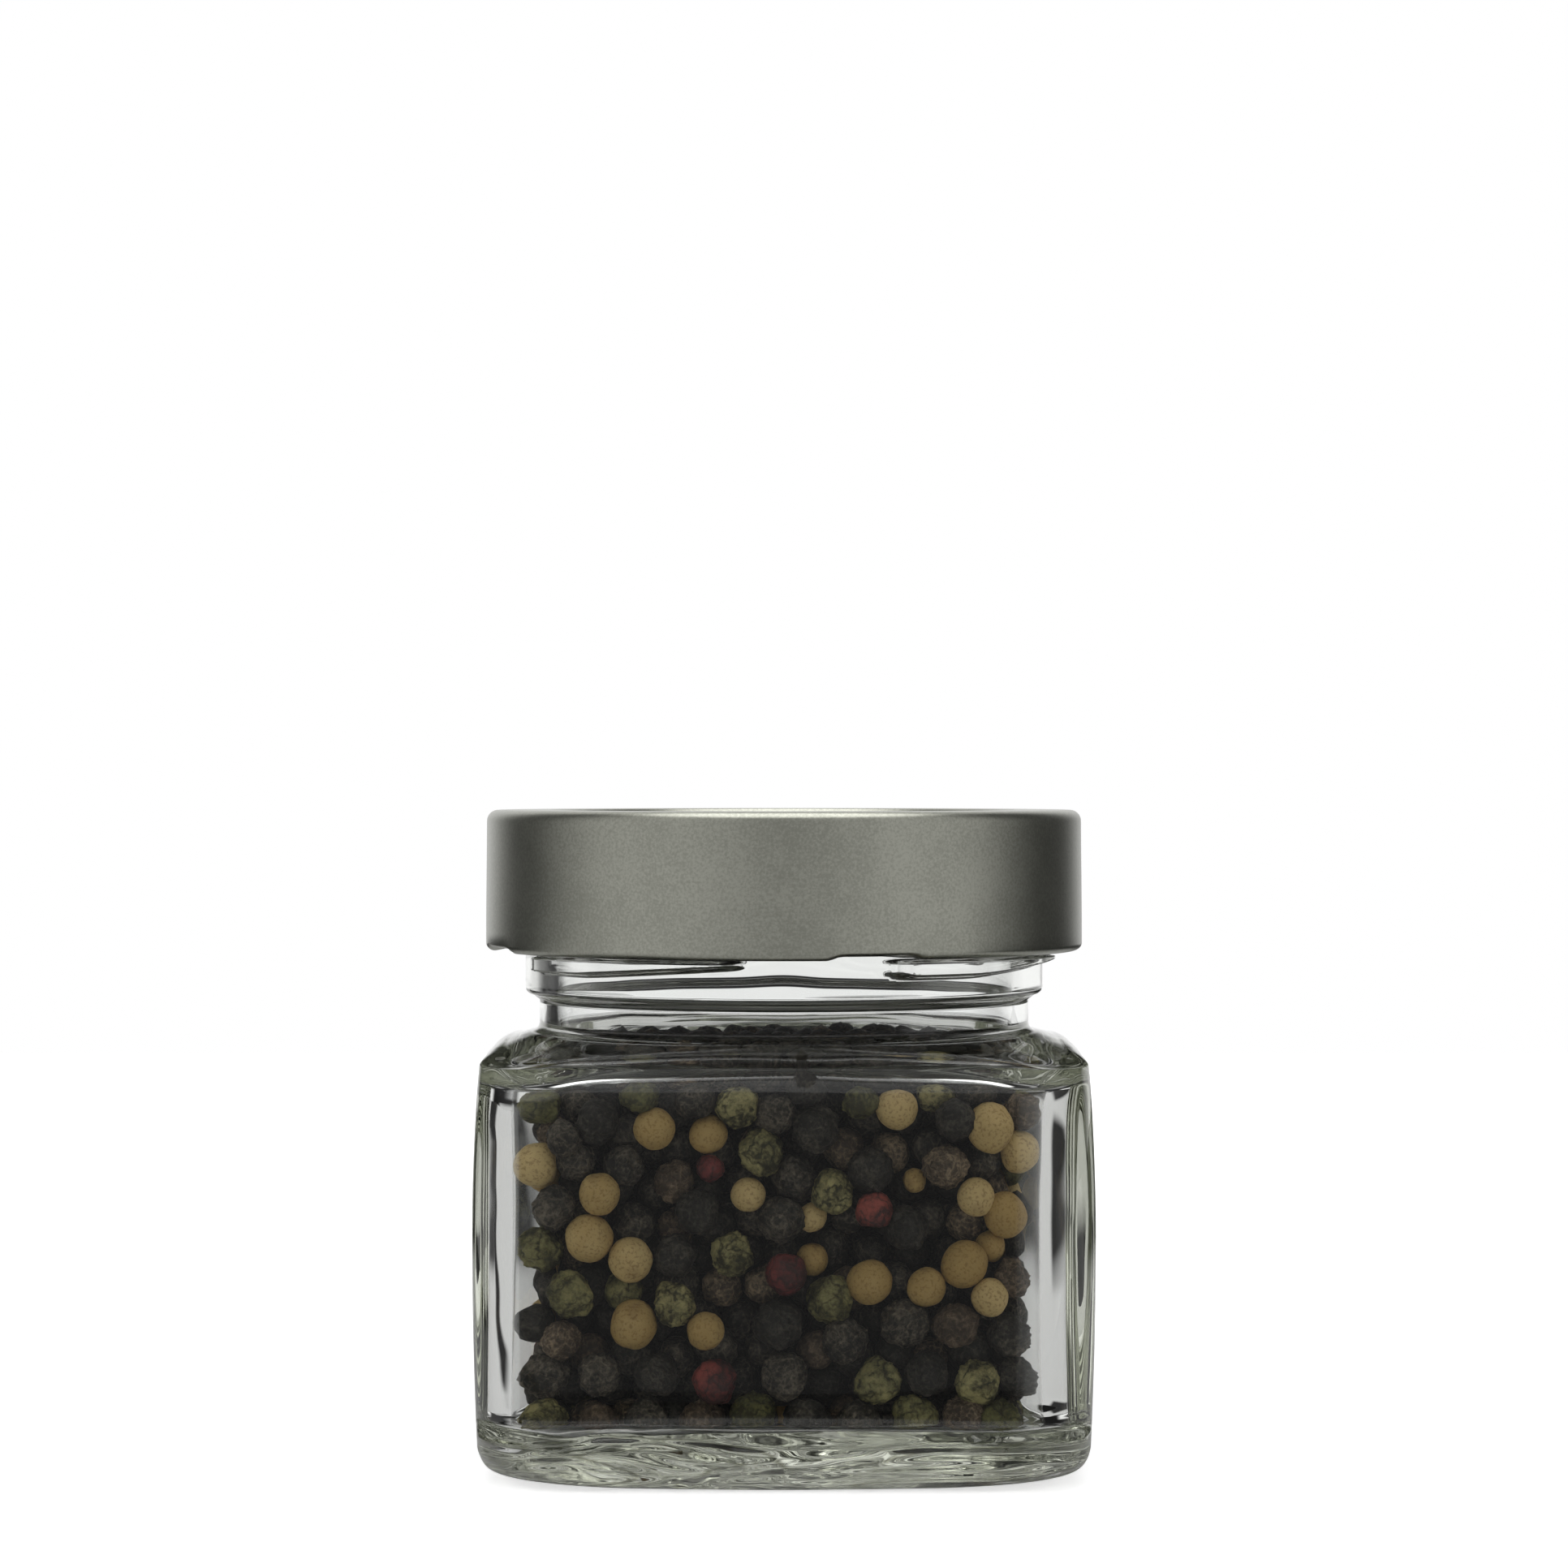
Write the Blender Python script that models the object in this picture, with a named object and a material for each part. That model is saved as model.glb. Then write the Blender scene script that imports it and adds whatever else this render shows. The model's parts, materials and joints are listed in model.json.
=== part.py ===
"""Square glass spice jar with a deep twist-off metal lid, filled with mixed peppercorns.

The jar stands on the plane z = 0, centred on the z axis, in metres. The lid sits loosely on the
neck, as high as the thread tops let it: from there it lifts straight off, or it drops between the
threads and turns clockwise until its lugs lie under them.
"""

import math

import bmesh
import bpy
from mathutils import Vector
from mathutils.geometry import delaunay_2d_cdt

# The lid's radius and the shoulder's height lead: the widths and heights of the rest follow them.
LID_RADIUS = 0.03475
SHOULDER_HEIGHT = 0.0463

# Jar body: a rounded square as wide as its lid, widest a little above its middle.
BODY_INSET = 0.00018
BODY_CORNER_RADIUS = 0.0090
WIDEST_LEVEL_SHARE = 0.596
HEEL_DRAW = 0.0005
SHOULDER_DRAW = 0.0007
HEEL_HEIGHT = 0.0045
HEEL_REACH = 0.0050
HEEL_ROUNDNESS_SHARE = 0.54
SHOULDER_RISE = 0.0018
SHOULDER_REACH = 0.0021
SHOULDER_CORNER_DROP = 0.0015
SHOULDER_SLOPE_RISE = 0.0007
BEARING_WIDTH = 0.0026
PUSH_UP_HEIGHT = 0.0012

# Glass thickness and the cavity.
WALL_THICKNESS = 0.0044
FLOOR_THICKNESS = 0.0050
CAVITY_CORNER_RADIUS = 0.0070
CAVITY_FLOOR_RADIUS = 0.0026
CAVITY_WALL_DROP = 0.0027
CAVITY_SHOULDER_RISE = 0.0044

# Neck and its finish.
FINISH_INSET = 0.00455
FINISH_WALL = 0.0036
NECK_INSET = 0.00165
NECK_FLARE_RADIUS = 0.0010
NECK_RISE = 0.0037
BEAD_EDGE_RADIUS = 0.0007
RIM_EDGE_RADIUS = 0.0012

# Threads: four ridges whose undersides climb away from their low end.
THREAD_COUNT = 4
THREAD_RISE = 0.0055
THREAD_DEPTH = 0.0020
THREAD_REACH = 0.0020
THREAD_ROOT = 0.0008
THREAD_CHAMFER = 0.0004
THREAD_START_TURN_SHARE = 0.0611
THREAD_LOW_END_TURN_SHARE = 0.1222
THREAD_END_TURN_SHARE = 0.2250
THREAD_RAMP_TURN_SHARE = 0.0130

# Lid: pressed sheet with a rolled rim whose roll is pushed in to make four lugs.
LID_TOP_RADIUS_LOSS = 0.0001
LID_METAL = 0.00035
LID_HEIGHT = 0.0163
LID_EDGE_RADIUS = 0.0013
PANEL_RECESS = 0.0008
CHANNEL_WIDTH = 0.00815
PANEL_STEP_WIDTH = 0.0006
CURL_WIDTH = 0.0019
CURL_HEIGHT = 0.0017
LUG_COUNT = 4
LUG_THICKNESS = 0.0011
LUG_RAISE = 0.0004
LUG_CENTRE_TURN_SHARE = 0.0483
LUG_HALF_TURN_SHARE = 0.0208
LUG_FLANK_TURN_SHARE = 0.0056

# Sealing ring in the lid's channel.
SEAL_THICKNESS = 0.0007
SEAL_EDGE = 0.0002

# Fits.
LUG_WALL_CLEARANCE = 0.0003
LUG_PASS_CLEARANCE = 0.0006
LUG_CLOSED_CLEARANCE = 0.0002
SEAL_SEAT_GAP = 0.0003
SEAL_CLOSED_CLEARANCE = 0.00015
FILL_CLEARANCE = 0.0003
GRAIN_CLEARANCE = 0.0003

# Peppercorn fill.
GRAIN_DIAMETER = 0.0050
GRAIN_PITCH = 0.0054
GRAIN_RELIEF = 0.0013
FILL_RISE = 0.0037
FILL_CROWN = 0.0008
FILL_FOOT_INSET = 0.0022
POCKET_OVERRUN = 0.0020
GRAIN_SQUASH_SHARE = 0.94

# Loose peppercorns against the front glass. Each row gives the place across, as a share of the
# cavity's half width, the height, as a share of its wall, and the diameter, as a share of the
# grain diameter.
WHITE_GRAIN_SHARES = (
    (-0.454, 0.935, 0.92),
    (0.708, 0.935, 0.98),
    (-0.642, 0.745, 0.88),
    (-0.128, 0.737, 0.78),
    (0.656, 0.740, 0.82),
    (-0.525, 0.374, 1.06),
    (-0.280, 0.354, 0.82),
    (0.300, 0.507, 0.92),
    (0.705, 0.453, 0.86),
)
GREEN_GRAIN_SHARES = (
    (0.162, 0.754, 0.96),
    (-0.187, 0.578, 0.96),
    (-0.743, 0.456, 1.08),
    (0.314, 0.212, 1.00),
    (0.660, 0.207, 1.00),
)
PINK_GRAIN_SHARES = (
    (-0.269, 0.828, 0.72),
    (0.321, 0.686, 0.80),
    (0.003, 0.521, 0.84),
    (-0.249, 0.209, 0.94),
)
BROWN_GRAIN_SHARES = (
    (0.525, 0.842, 0.94),
    (0.560, 0.360, 0.98),
)

# Facet counts.
SECTION_STEPS = 48
SEAL_STEPS = 48
LID_STEPS_BETWEEN_LUGS = 11
ARC_STEPS = 4
THREAD_STEPS = 18
POCKET_SIDES = 8

# Half of each quarter turn of a glass section goes to its corner.
GLASS_CORNER_SHARE = 0.5
QUARTER_TURN = math.pi / 2
FULL_TURN = 2 * math.pi

BODY_HALF_WIDTH = LID_RADIUS - BODY_INSET
CAVITY_HALF_WIDTH = BODY_HALF_WIDTH - WALL_THICKNESS
FINISH_RADIUS = LID_RADIUS - FINISH_INSET
BORE_RADIUS = FINISH_RADIUS - FINISH_WALL
NECK_RADIUS = FINISH_RADIUS - NECK_INSET
PANEL_RADIUS = LID_RADIUS - CHANNEL_WIDTH
WIDEST_HEIGHT = SHOULDER_HEIGHT * WIDEST_LEVEL_SHARE
CAVITY_WALL_TOP = SHOULDER_HEIGHT - CAVITY_WALL_DROP
FILL_TOP_HEIGHT = SHOULDER_HEIGHT + FILL_RISE
NECK_FOOT = SHOULDER_HEIGHT + SHOULDER_RISE + SHOULDER_SLOPE_RISE
BEAD_FOOT = NECK_FOOT + NECK_RISE
THREAD_TOP_HEIGHT = BEAD_FOOT + THREAD_RISE
LUG_UNDERSIDE = THREAD_TOP_HEIGHT + LUG_PASS_CLEARANCE
LID_BOTTOM = LUG_UNDERSIDE - LUG_RAISE
LID_TOP = LID_BOTTOM + LID_HEIGHT
LUG_INNER_RADIUS = FINISH_RADIUS + LUG_WALL_CLEARANCE
THREAD_UNDERSIDE = THREAD_TOP_HEIGHT - THREAD_DEPTH
CLOSING_DROP = LUG_UNDERSIDE + LUG_THICKNESS + LUG_CLOSED_CLEARANCE - THREAD_UNDERSIDE
SEAL_TOP = LID_TOP - LID_METAL - SEAL_SEAT_GAP
SEAL_BOTTOM = SEAL_TOP - SEAL_THICKNESS
RIM_HEIGHT = SEAL_BOTTOM - CLOSING_DROP - SEAL_CLOSED_CLEARANCE


def remove_everything():
    for old in list(bpy.data.objects):
        bpy.data.objects.remove(old, do_unlink=True)


def principled(name, colour, roughness, metallic=0.0, transmission=0.0):
    """A material whose Principled shader holds the finish of one piece."""
    made = bpy.data.materials.new(name)
    made.use_nodes = True
    shader = made.node_tree.nodes["Principled BSDF"]
    shader.inputs["Base Color"].default_value = (*colour, 1.0)
    shader.inputs["Roughness"].default_value = roughness
    shader.inputs["Metallic"].default_value = metallic
    shader.inputs["Transmission Weight"].default_value = transmission
    made.diffuse_color = (*colour, 1.0)
    return made


def object_from(shape, name, finish, place=(0.0, 0.0, 0.0)):
    """Turns a bmesh into a named object, smooth except at its real edges."""
    mesh = bpy.data.meshes.new(name)
    bmesh.ops.recalc_face_normals(shape, faces=shape.faces)
    shape.to_mesh(mesh)
    shape.free()
    mesh.shade_smooth()
    mesh.set_sharp_from_angle(angle=math.radians(35))
    if finish is not None:
        mesh.materials.append(finish)
    made = bpy.data.objects.new(name, mesh)
    made.location = place
    bpy.context.scene.collection.objects.link(made)
    return made


def helper(made):
    """Marks an object as a tool for a Boolean, which no render shows."""
    made.hide_render = True
    made.display_type = "WIRE"
    return made


def outline_point(half_width, corner_radius, roundness, turn, corner_share):
    """Point on a section at a share of a turn from +X: a rounded square, a circle or a mix."""
    quarter, along = divmod(4 * turn, 1)
    straight = half_width - corner_radius
    side_share = (1 - corner_share) / 2
    if along < side_share:
        x, y = half_width, straight * along / side_share
    elif along > 1 - side_share:
        x, y = straight * (1 - along) / side_share, half_width
    else:
        angle = QUARTER_TURN * (along - side_share) / corner_share
        x = straight + corner_radius * math.cos(angle)
        y = straight + corner_radius * math.sin(angle)
    angle = QUARTER_TURN * along
    x += roundness * (half_width * math.cos(angle) - x)
    y += roundness * (half_width * math.sin(angle) - y)
    cos_quarter = round(math.cos(QUARTER_TURN * quarter))
    sin_quarter = round(math.sin(QUARTER_TURN * quarter))
    return Vector((x * cos_quarter - y * sin_quarter, x * sin_quarter + y * cos_quarter, 0))


def ellipse_run(centre, radii, start, end, steps):
    """Points (across, up) along part of an ellipse, both ends included; angles in quarter turns."""
    points = []
    for step in range(steps + 1):
        angle = QUARTER_TURN * (start + (end - start) * step / steps)
        across = centre[0] + radii[0] * math.cos(angle)
        points.append((across, centre[1] + radii[1] * math.sin(angle)))
    return points


def add_ring(shape, points):
    return [shape.verts.new(point) for point in points]


def join_rings(shape, lower, upper):
    """Quads between two closed rings with the same number of points."""
    for here, (low, high) in enumerate(zip(lower, upper)):
        beyond = (here + 1) % len(lower)
        shape.faces.new((low, lower[beyond], upper[beyond], high))


def close_with_point(shape, ring, centre):
    tip = shape.verts.new(centre)
    for here, corner in enumerate(ring):
        shape.faces.new((corner, ring[(here + 1) % len(ring)], tip))


def body_half_width(height):
    """Half width of the outer wall: two shallow parabolas that meet at the widest level."""
    if height < WIDEST_HEIGHT:
        fall = (WIDEST_HEIGHT - height) / (WIDEST_HEIGHT - HEEL_HEIGHT)
        return BODY_HALF_WIDTH - HEEL_DRAW * fall**2
    fall = (height - WIDEST_HEIGHT) / (SHOULDER_HEIGHT - WIDEST_HEIGHT)
    return BODY_HALF_WIDTH - SHOULDER_DRAW * fall**2


def outer_sections():
    """Sections of the outside, base to rim.

    Each is (half width, corner radius, roundness, height, how far its corners dip below that).
    """
    heel_top = body_half_width(HEEL_HEIGHT)
    bearing_outer = heel_top - HEEL_REACH
    bearing_inner = bearing_outer - BEARING_WIDTH
    corner = BODY_CORNER_RADIUS
    sections = [
        (bearing_inner / 2, corner, 1.0, PUSH_UP_HEIGHT * 0.9, 0.0),
        (bearing_inner, corner, HEEL_ROUNDNESS_SHARE, 0.0, 0.0),
    ]
    heel_centre = (bearing_outer, HEEL_HEIGHT)
    for across, up in ellipse_run(heel_centre, (HEEL_REACH, HEEL_HEIGHT), -1, 0, ARC_STEPS + 1):
        roundness = HEEL_ROUNDNESS_SHARE * (1 - up / HEEL_HEIGHT) ** 6
        sections.append((across, corner, roundness, up, 0.0))
    wall_levels = 6
    for level in range(1, wall_levels):
        height = HEEL_HEIGHT + (SHOULDER_HEIGHT - HEEL_HEIGHT) * level / wall_levels
        sections.append((body_half_width(height), corner, 0.0, height, 0.0))
    shoulder_inner = body_half_width(SHOULDER_HEIGHT) - SHOULDER_REACH
    shoulder_centre = (shoulder_inner, SHOULDER_HEIGHT)
    shoulder_radii = (SHOULDER_REACH, SHOULDER_RISE)
    for across, up in ellipse_run(shoulder_centre, shoulder_radii, 0, 1, ARC_STEPS):
        drop = SHOULDER_CORNER_DROP * (up - SHOULDER_HEIGHT) / SHOULDER_RISE
        sections.append((across, corner, 0.0, up, drop))
    slope_foot = SHOULDER_HEIGHT + SHOULDER_RISE
    flare_edge = NECK_RADIUS + NECK_FLARE_RADIUS
    slope_steps = 3
    for step in range(1, slope_steps):
        share = step / slope_steps
        across = shoulder_inner + (flare_edge - shoulder_inner) * share
        height = slope_foot + SHOULDER_SLOPE_RISE * share
        drop = SHOULDER_CORNER_DROP * (1 - share)
        sections.append((across, corner, share, height, drop))
    flare_centre = (flare_edge, NECK_FOOT + NECK_FLARE_RADIUS)
    flare_radii = (NECK_FLARE_RADIUS, NECK_FLARE_RADIUS)
    for across, up in ellipse_run(flare_centre, flare_radii, -1, -2, 3):
        sections.append((across, corner, 1.0, up, 0.0))
    sections.append((NECK_RADIUS, corner, 1.0, BEAD_FOOT, 0.0))
    bead_centre = (FINISH_RADIUS - BEAD_EDGE_RADIUS, BEAD_FOOT + 2 * BEAD_EDGE_RADIUS)
    bead_radii = (BEAD_EDGE_RADIUS, BEAD_EDGE_RADIUS)
    for across, up in ellipse_run(bead_centre, bead_radii, -1, 0, 2):
        sections.append((across, corner, 1.0, up, 0.0))
    rim_centre = (FINISH_RADIUS - RIM_EDGE_RADIUS, RIM_HEIGHT - RIM_EDGE_RADIUS)
    rim_radii = (RIM_EDGE_RADIUS, RIM_EDGE_RADIUS)
    for across, up in ellipse_run(rim_centre, rim_radii, 0, 1, ARC_STEPS - 1):
        sections.append((across, corner, 1.0, up, 0.0))
    return sections


def cavity_section(height, clearance=0.0):
    """Half width, corner radius and roundness of the cavity at a height above its floor curve."""
    rise = (height + clearance - CAVITY_WALL_TOP) / CAVITY_SHOULDER_RISE
    roundness = 1 - math.cos(QUARTER_TURN * min(max(rise, 0), 1))
    half_width = CAVITY_HALF_WIDTH - (CAVITY_HALF_WIDTH - BORE_RADIUS) * roundness
    return half_width - clearance, CAVITY_CORNER_RADIUS - clearance, roundness


def inner_sections():
    """Sections of the inside, rim to floor."""
    sections = []
    rim_centre = (BORE_RADIUS + RIM_EDGE_RADIUS, RIM_HEIGHT - RIM_EDGE_RADIUS)
    rim_radii = (RIM_EDGE_RADIUS, RIM_EDGE_RADIUS)
    for across, up in ellipse_run(rim_centre, rim_radii, 1, 2, ARC_STEPS - 1):
        sections.append((across, CAVITY_CORNER_RADIUS, 1.0, up, 0.0))
    shoulder_levels = ARC_STEPS + 1
    for level in range(shoulder_levels + 1):
        height = CAVITY_WALL_TOP + CAVITY_SHOULDER_RISE * (1 - level / shoulder_levels)
        sections.append((*cavity_section(height), height, 0.0))
    floor_centre = (CAVITY_HALF_WIDTH - CAVITY_FLOOR_RADIUS, FLOOR_THICKNESS + CAVITY_FLOOR_RADIUS)
    floor_radii = (CAVITY_FLOOR_RADIUS, CAVITY_FLOOR_RADIUS)
    for across, up in ellipse_run(floor_centre, floor_radii, 0, -1, ARC_STEPS):
        sections.append((across, CAVITY_CORNER_RADIUS, 0.0, up, 0.0))
    return sections


def thread_ridge_stations():
    """Stations (angle, reach, underside height) along one ridge, low end first."""
    stations = []
    first = THREAD_START_TURN_SHARE
    last = THREAD_END_TURN_SHARE
    for step in range(THREAD_STEPS + 1):
        turn = first + (last - first) * step / THREAD_STEPS
        rise_in = min((turn - first) / THREAD_RAMP_TURN_SHARE, 1)
        fade_out = min((last - turn) / THREAD_RAMP_TURN_SHARE, 1)
        reach = -THREAD_ROOT / 2 + (THREAD_REACH + THREAD_ROOT / 2) * min(rise_in, fade_out)
        climb = max(turn - THREAD_LOW_END_TURN_SHARE, 0) / (last - THREAD_LOW_END_TURN_SHARE)
        lowest_rise = THREAD_DEPTH - 2 * THREAD_CHAMFER
        underside = THREAD_UNDERSIDE + lowest_rise * max(climb, (1 - rise_in) / 2)
        stations.append((turn, reach, underside))
    return stations


def thread_ridge(shape, start_turn):
    """One ridge: a chamfered bar swept round the neck, its section shrinking as it climbs."""
    rings = []
    for turn, reach, underside in thread_ridge_stations():
        # Turns are counted from the front, -Y, towards +X.
        angle = FULL_TURN * (turn + start_turn) - QUARTER_TURN
        root = FINISH_RADIUS - THREAD_ROOT
        crest = FINISH_RADIUS + reach
        profile = (
            (root, underside),
            (crest, underside + THREAD_CHAMFER),
            (crest, THREAD_TOP_HEIGHT - THREAD_CHAMFER / 2),
            (root, THREAD_TOP_HEIGHT),
        )
        ring = []
        for across, up in profile:
            ring.append((across * math.cos(angle), across * math.sin(angle), up))
        rings.append(add_ring(shape, ring))
    for here, beyond in zip(rings, rings[1:]):
        join_rings(shape, here, beyond)
    shape.faces.new(rings[0])
    shape.faces.new(rings[-1][::-1])


def make_glass_jar():
    """Blown and pressed jar: one closed skin from the push-up round the rim to the inner floor."""
    shape = bmesh.new()
    rings = []
    for half_width, corner, roundness, height, drop in outer_sections() + inner_sections():
        ring = []
        for step in range(SECTION_STEPS):
            turn = step / SECTION_STEPS
            point = outline_point(half_width, corner, roundness, turn, GLASS_CORNER_SHARE)
            point.z = height - drop * math.sin(2 * FULL_TURN * turn) ** 2
            ring.append(point)
        rings.append(add_ring(shape, ring))
    for lower, upper in zip(rings, rings[1:]):
        join_rings(shape, lower, upper)
    close_with_point(shape, rings[0], (0, 0, PUSH_UP_HEIGHT))
    close_with_point(shape, rings[-1], (0, 0, FLOOR_THICKNESS))
    glass = principled("clear_glass", (0.90, 0.95, 0.92), 0.02, transmission=1.0)
    jar = object_from(shape, "glass_jar", glass)

    ridges = bmesh.new()
    for index in range(THREAD_COUNT):
        thread_ridge(ridges, index / THREAD_COUNT)
    tool = helper(object_from(ridges, "thread_ridges", None))
    join = jar.modifiers.new("threads", "BOOLEAN")
    join.operation = "UNION"
    join.solver = "EXACT"
    join.object = tool
    return jar


def lug_turns():
    """Turns round the lid with extra stations on the lugs: (turn, how far the lug is pushed in)."""
    spacing = 1 / LUG_COUNT
    foot = LUG_HALF_TURN_SHARE + LUG_FLANK_TURN_SHARE
    stations = []
    for index in range(LUG_COUNT):
        centre = LUG_CENTRE_TURN_SHARE + index * spacing
        stations.append((centre - foot, 0.0))
        stations.append((centre - LUG_HALF_TURN_SHARE, 1.0))
        stations.append((centre - LUG_HALF_TURN_SHARE / 3, 1.0))
        stations.append((centre + LUG_HALF_TURN_SHARE / 3, 1.0))
        stations.append((centre + LUG_HALF_TURN_SHARE, 1.0))
        for step in range(LID_STEPS_BETWEEN_LUGS):
            share = step / LID_STEPS_BETWEEN_LUGS
            stations.append((centre + foot + (spacing - 2 * foot) * share, 0.0))
    return stations


def lid_profile(pushed_in):
    """Section of the lid from the panel's top to its underside, heights from the rolled rim."""
    top_radius = LID_RADIUS - LID_TOP_RADIUS_LOSS
    panel_top = LID_HEIGHT - PANEL_RECESS
    step_top = PANEL_RADIUS + PANEL_STEP_WIDTH
    profile = [(PANEL_RADIUS, panel_top), (step_top, LID_HEIGHT)]
    edge_centre = (top_radius - LID_EDGE_RADIUS, LID_HEIGHT - LID_EDGE_RADIUS)
    edge_radii = (LID_EDGE_RADIUS, LID_EDGE_RADIUS)
    profile += ellipse_run(edge_centre, edge_radii, 1, 0, ARC_STEPS)
    lug_reach = LID_RADIUS - LUG_INNER_RADIUS - CURL_WIDTH
    width = CURL_WIDTH + pushed_in * lug_reach
    height = CURL_HEIGHT + pushed_in * (LUG_THICKNESS - CURL_HEIGHT)
    roll_centre = (LID_RADIUS - width / 2, pushed_in * LUG_RAISE + height / 2)
    profile += ellipse_run(roll_centre, (width / 2, height / 2), 0, -2.6, ARC_STEPS + 2)
    inner_wall = top_radius - LID_METAL
    profile.append((inner_wall, CURL_HEIGHT + LID_METAL))
    inner_edge = LID_EDGE_RADIUS - LID_METAL
    profile += ellipse_run(edge_centre, (inner_edge, inner_edge), 0, 1, 2)
    profile.append((step_top + LID_METAL / 2, LID_HEIGHT - LID_METAL))
    profile.append((PANEL_RADIUS + LID_METAL / 2, panel_top - LID_METAL))
    return profile


def make_lid_shell():
    shape = bmesh.new()
    columns = []
    for turn, pushed_in in lug_turns():
        angle = FULL_TURN * turn - QUARTER_TURN
        column = []
        for across, up in lid_profile(pushed_in):
            column.append((across * math.cos(angle), across * math.sin(angle), up))
        columns.append(column)
    rings = [add_ring(shape, points) for points in zip(*columns)]
    for lower, upper in zip(rings, rings[1:]):
        join_rings(shape, lower, upper)
    close_with_point(shape, rings[0], (0, 0, LID_HEIGHT - PANEL_RECESS))
    close_with_point(shape, rings[-1], (0, 0, LID_HEIGHT - PANEL_RECESS - LID_METAL))
    metal = principled("satin_lid_metal", (0.22, 0.22, 0.20), 0.34, metallic=1.0)
    return object_from(shape, "lid_shell", metal, (0, 0, LID_BOTTOM))


def make_sealing_ring():
    """Soft ring in the lid's channel, a flat section with broken edges."""
    inner = PANEL_RADIUS + PANEL_STEP_WIDTH + LID_METAL / 2 + SEAL_SEAT_GAP
    outer = LID_RADIUS - LID_TOP_RADIUS_LOSS - LID_EDGE_RADIUS
    profile = (
        (inner, SEAL_EDGE),
        (inner + SEAL_EDGE, 0.0),
        (outer - SEAL_EDGE, 0.0),
        (outer, SEAL_EDGE),
        (outer, SEAL_THICKNESS),
        (inner, SEAL_THICKNESS),
    )
    shape = bmesh.new()
    rings = []
    for across, up in profile:
        ring = []
        for step in range(SEAL_STEPS):
            angle = FULL_TURN * step / SEAL_STEPS
            ring.append((across * math.cos(angle), across * math.sin(angle), up))
        rings.append(add_ring(shape, ring))
    for here, lower in enumerate(rings):
        join_rings(shape, lower, rings[(here + 1) % len(rings)])
    rubber = principled("sealing_compound", (0.62, 0.60, 0.55), 0.6)
    return object_from(shape, "sealing_ring", rubber, (0, 0, SEAL_BOTTOM))


def fill_point(turn, height, sunk):
    """Point on the fill's skin at a height, sunk by some depth behind the grain tops."""
    half_width, corner, roundness = cavity_section(height, FILL_CLEARANCE)
    quarter_run = 2 * (CAVITY_HALF_WIDTH - CAVITY_CORNER_RADIUS)
    corner_run = QUARTER_TURN * CAVITY_CORNER_RADIUS
    corner_share = corner_run / (quarter_run + corner_run)
    point = outline_point(half_width - sunk, corner - sunk, roundness, turn % 1, corner_share)
    point.z = height
    return point


def dimpled_triangle(shape, corners, low):
    """Three faces that run from three grain tops down to the hollow between them."""
    low_vert = shape.verts.new(low)
    for here, corner in enumerate(corners):
        shape.faces.new((corner, corners[(here + 1) % 3], low_vert))


def fill_wall(shape):
    """Rows of grain tops round the cavity, each row set half a pitch from the last."""
    perimeter = 8 * (CAVITY_HALF_WIDTH - CAVITY_CORNER_RADIUS) + FULL_TURN * CAVITY_CORNER_RADIUS
    count = round(perimeter / GRAIN_PITCH)
    foot = FLOOR_THICKNESS + FILL_FOOT_INSET
    wall_rows = round((CAVITY_WALL_TOP - foot) / (GRAIN_PITCH * math.cos(QUARTER_TURN / 3)))
    heights = [foot + (CAVITY_WALL_TOP - foot) * row / wall_rows for row in range(wall_rows + 1)]
    heights.append(CAVITY_WALL_TOP + CAVITY_SHOULDER_RISE / 2)
    heights.append(CAVITY_WALL_TOP + CAVITY_SHOULDER_RISE)
    heights.append(FILL_TOP_HEIGHT)
    rows = []
    for row, height in enumerate(heights):
        shift = 0.5 * (row % 2)
        points = [fill_point((step + shift) / count, height, 0.0) for step in range(count)]
        rows.append(add_ring(shape, points))
    for row, (lower, upper) in enumerate(zip(rows, rows[1:])):
        odd = row % 2
        shift = 0.5 * odd
        middle = (2 * heights[row] + heights[row + 1]) / 3
        upper_middle = (heights[row] + 2 * heights[row + 1]) / 3
        for step in range(count):
            beyond = (step + 1) % count
            above = (step + odd) % count
            before = (above - 1) % count
            low = fill_point((step + shift + 0.5) / count, middle, GRAIN_RELIEF)
            dimpled_triangle(shape, (lower[step], lower[beyond], upper[above]), low)
            low = fill_point((step + shift) / count, upper_middle, GRAIN_RELIEF)
            dimpled_triangle(shape, (lower[step], upper[above], upper[before]), low)
    return rows[0], rows[-1]


def fill_foot(shape, lowest_row):
    """Draws the fill in to the flat of the cavity floor."""
    floor = FLOOR_THICKNESS + FILL_CLEARANCE
    ring = []
    for vert in lowest_row:
        inset = 1 - FILL_FOOT_INSET / max(abs(vert.co.x), abs(vert.co.y))
        ring.append((vert.co.x * inset, vert.co.y * inset, floor))
    foot = add_ring(shape, ring)
    join_rings(shape, foot, lowest_row)
    shape.faces.new(foot[::-1])


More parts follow.
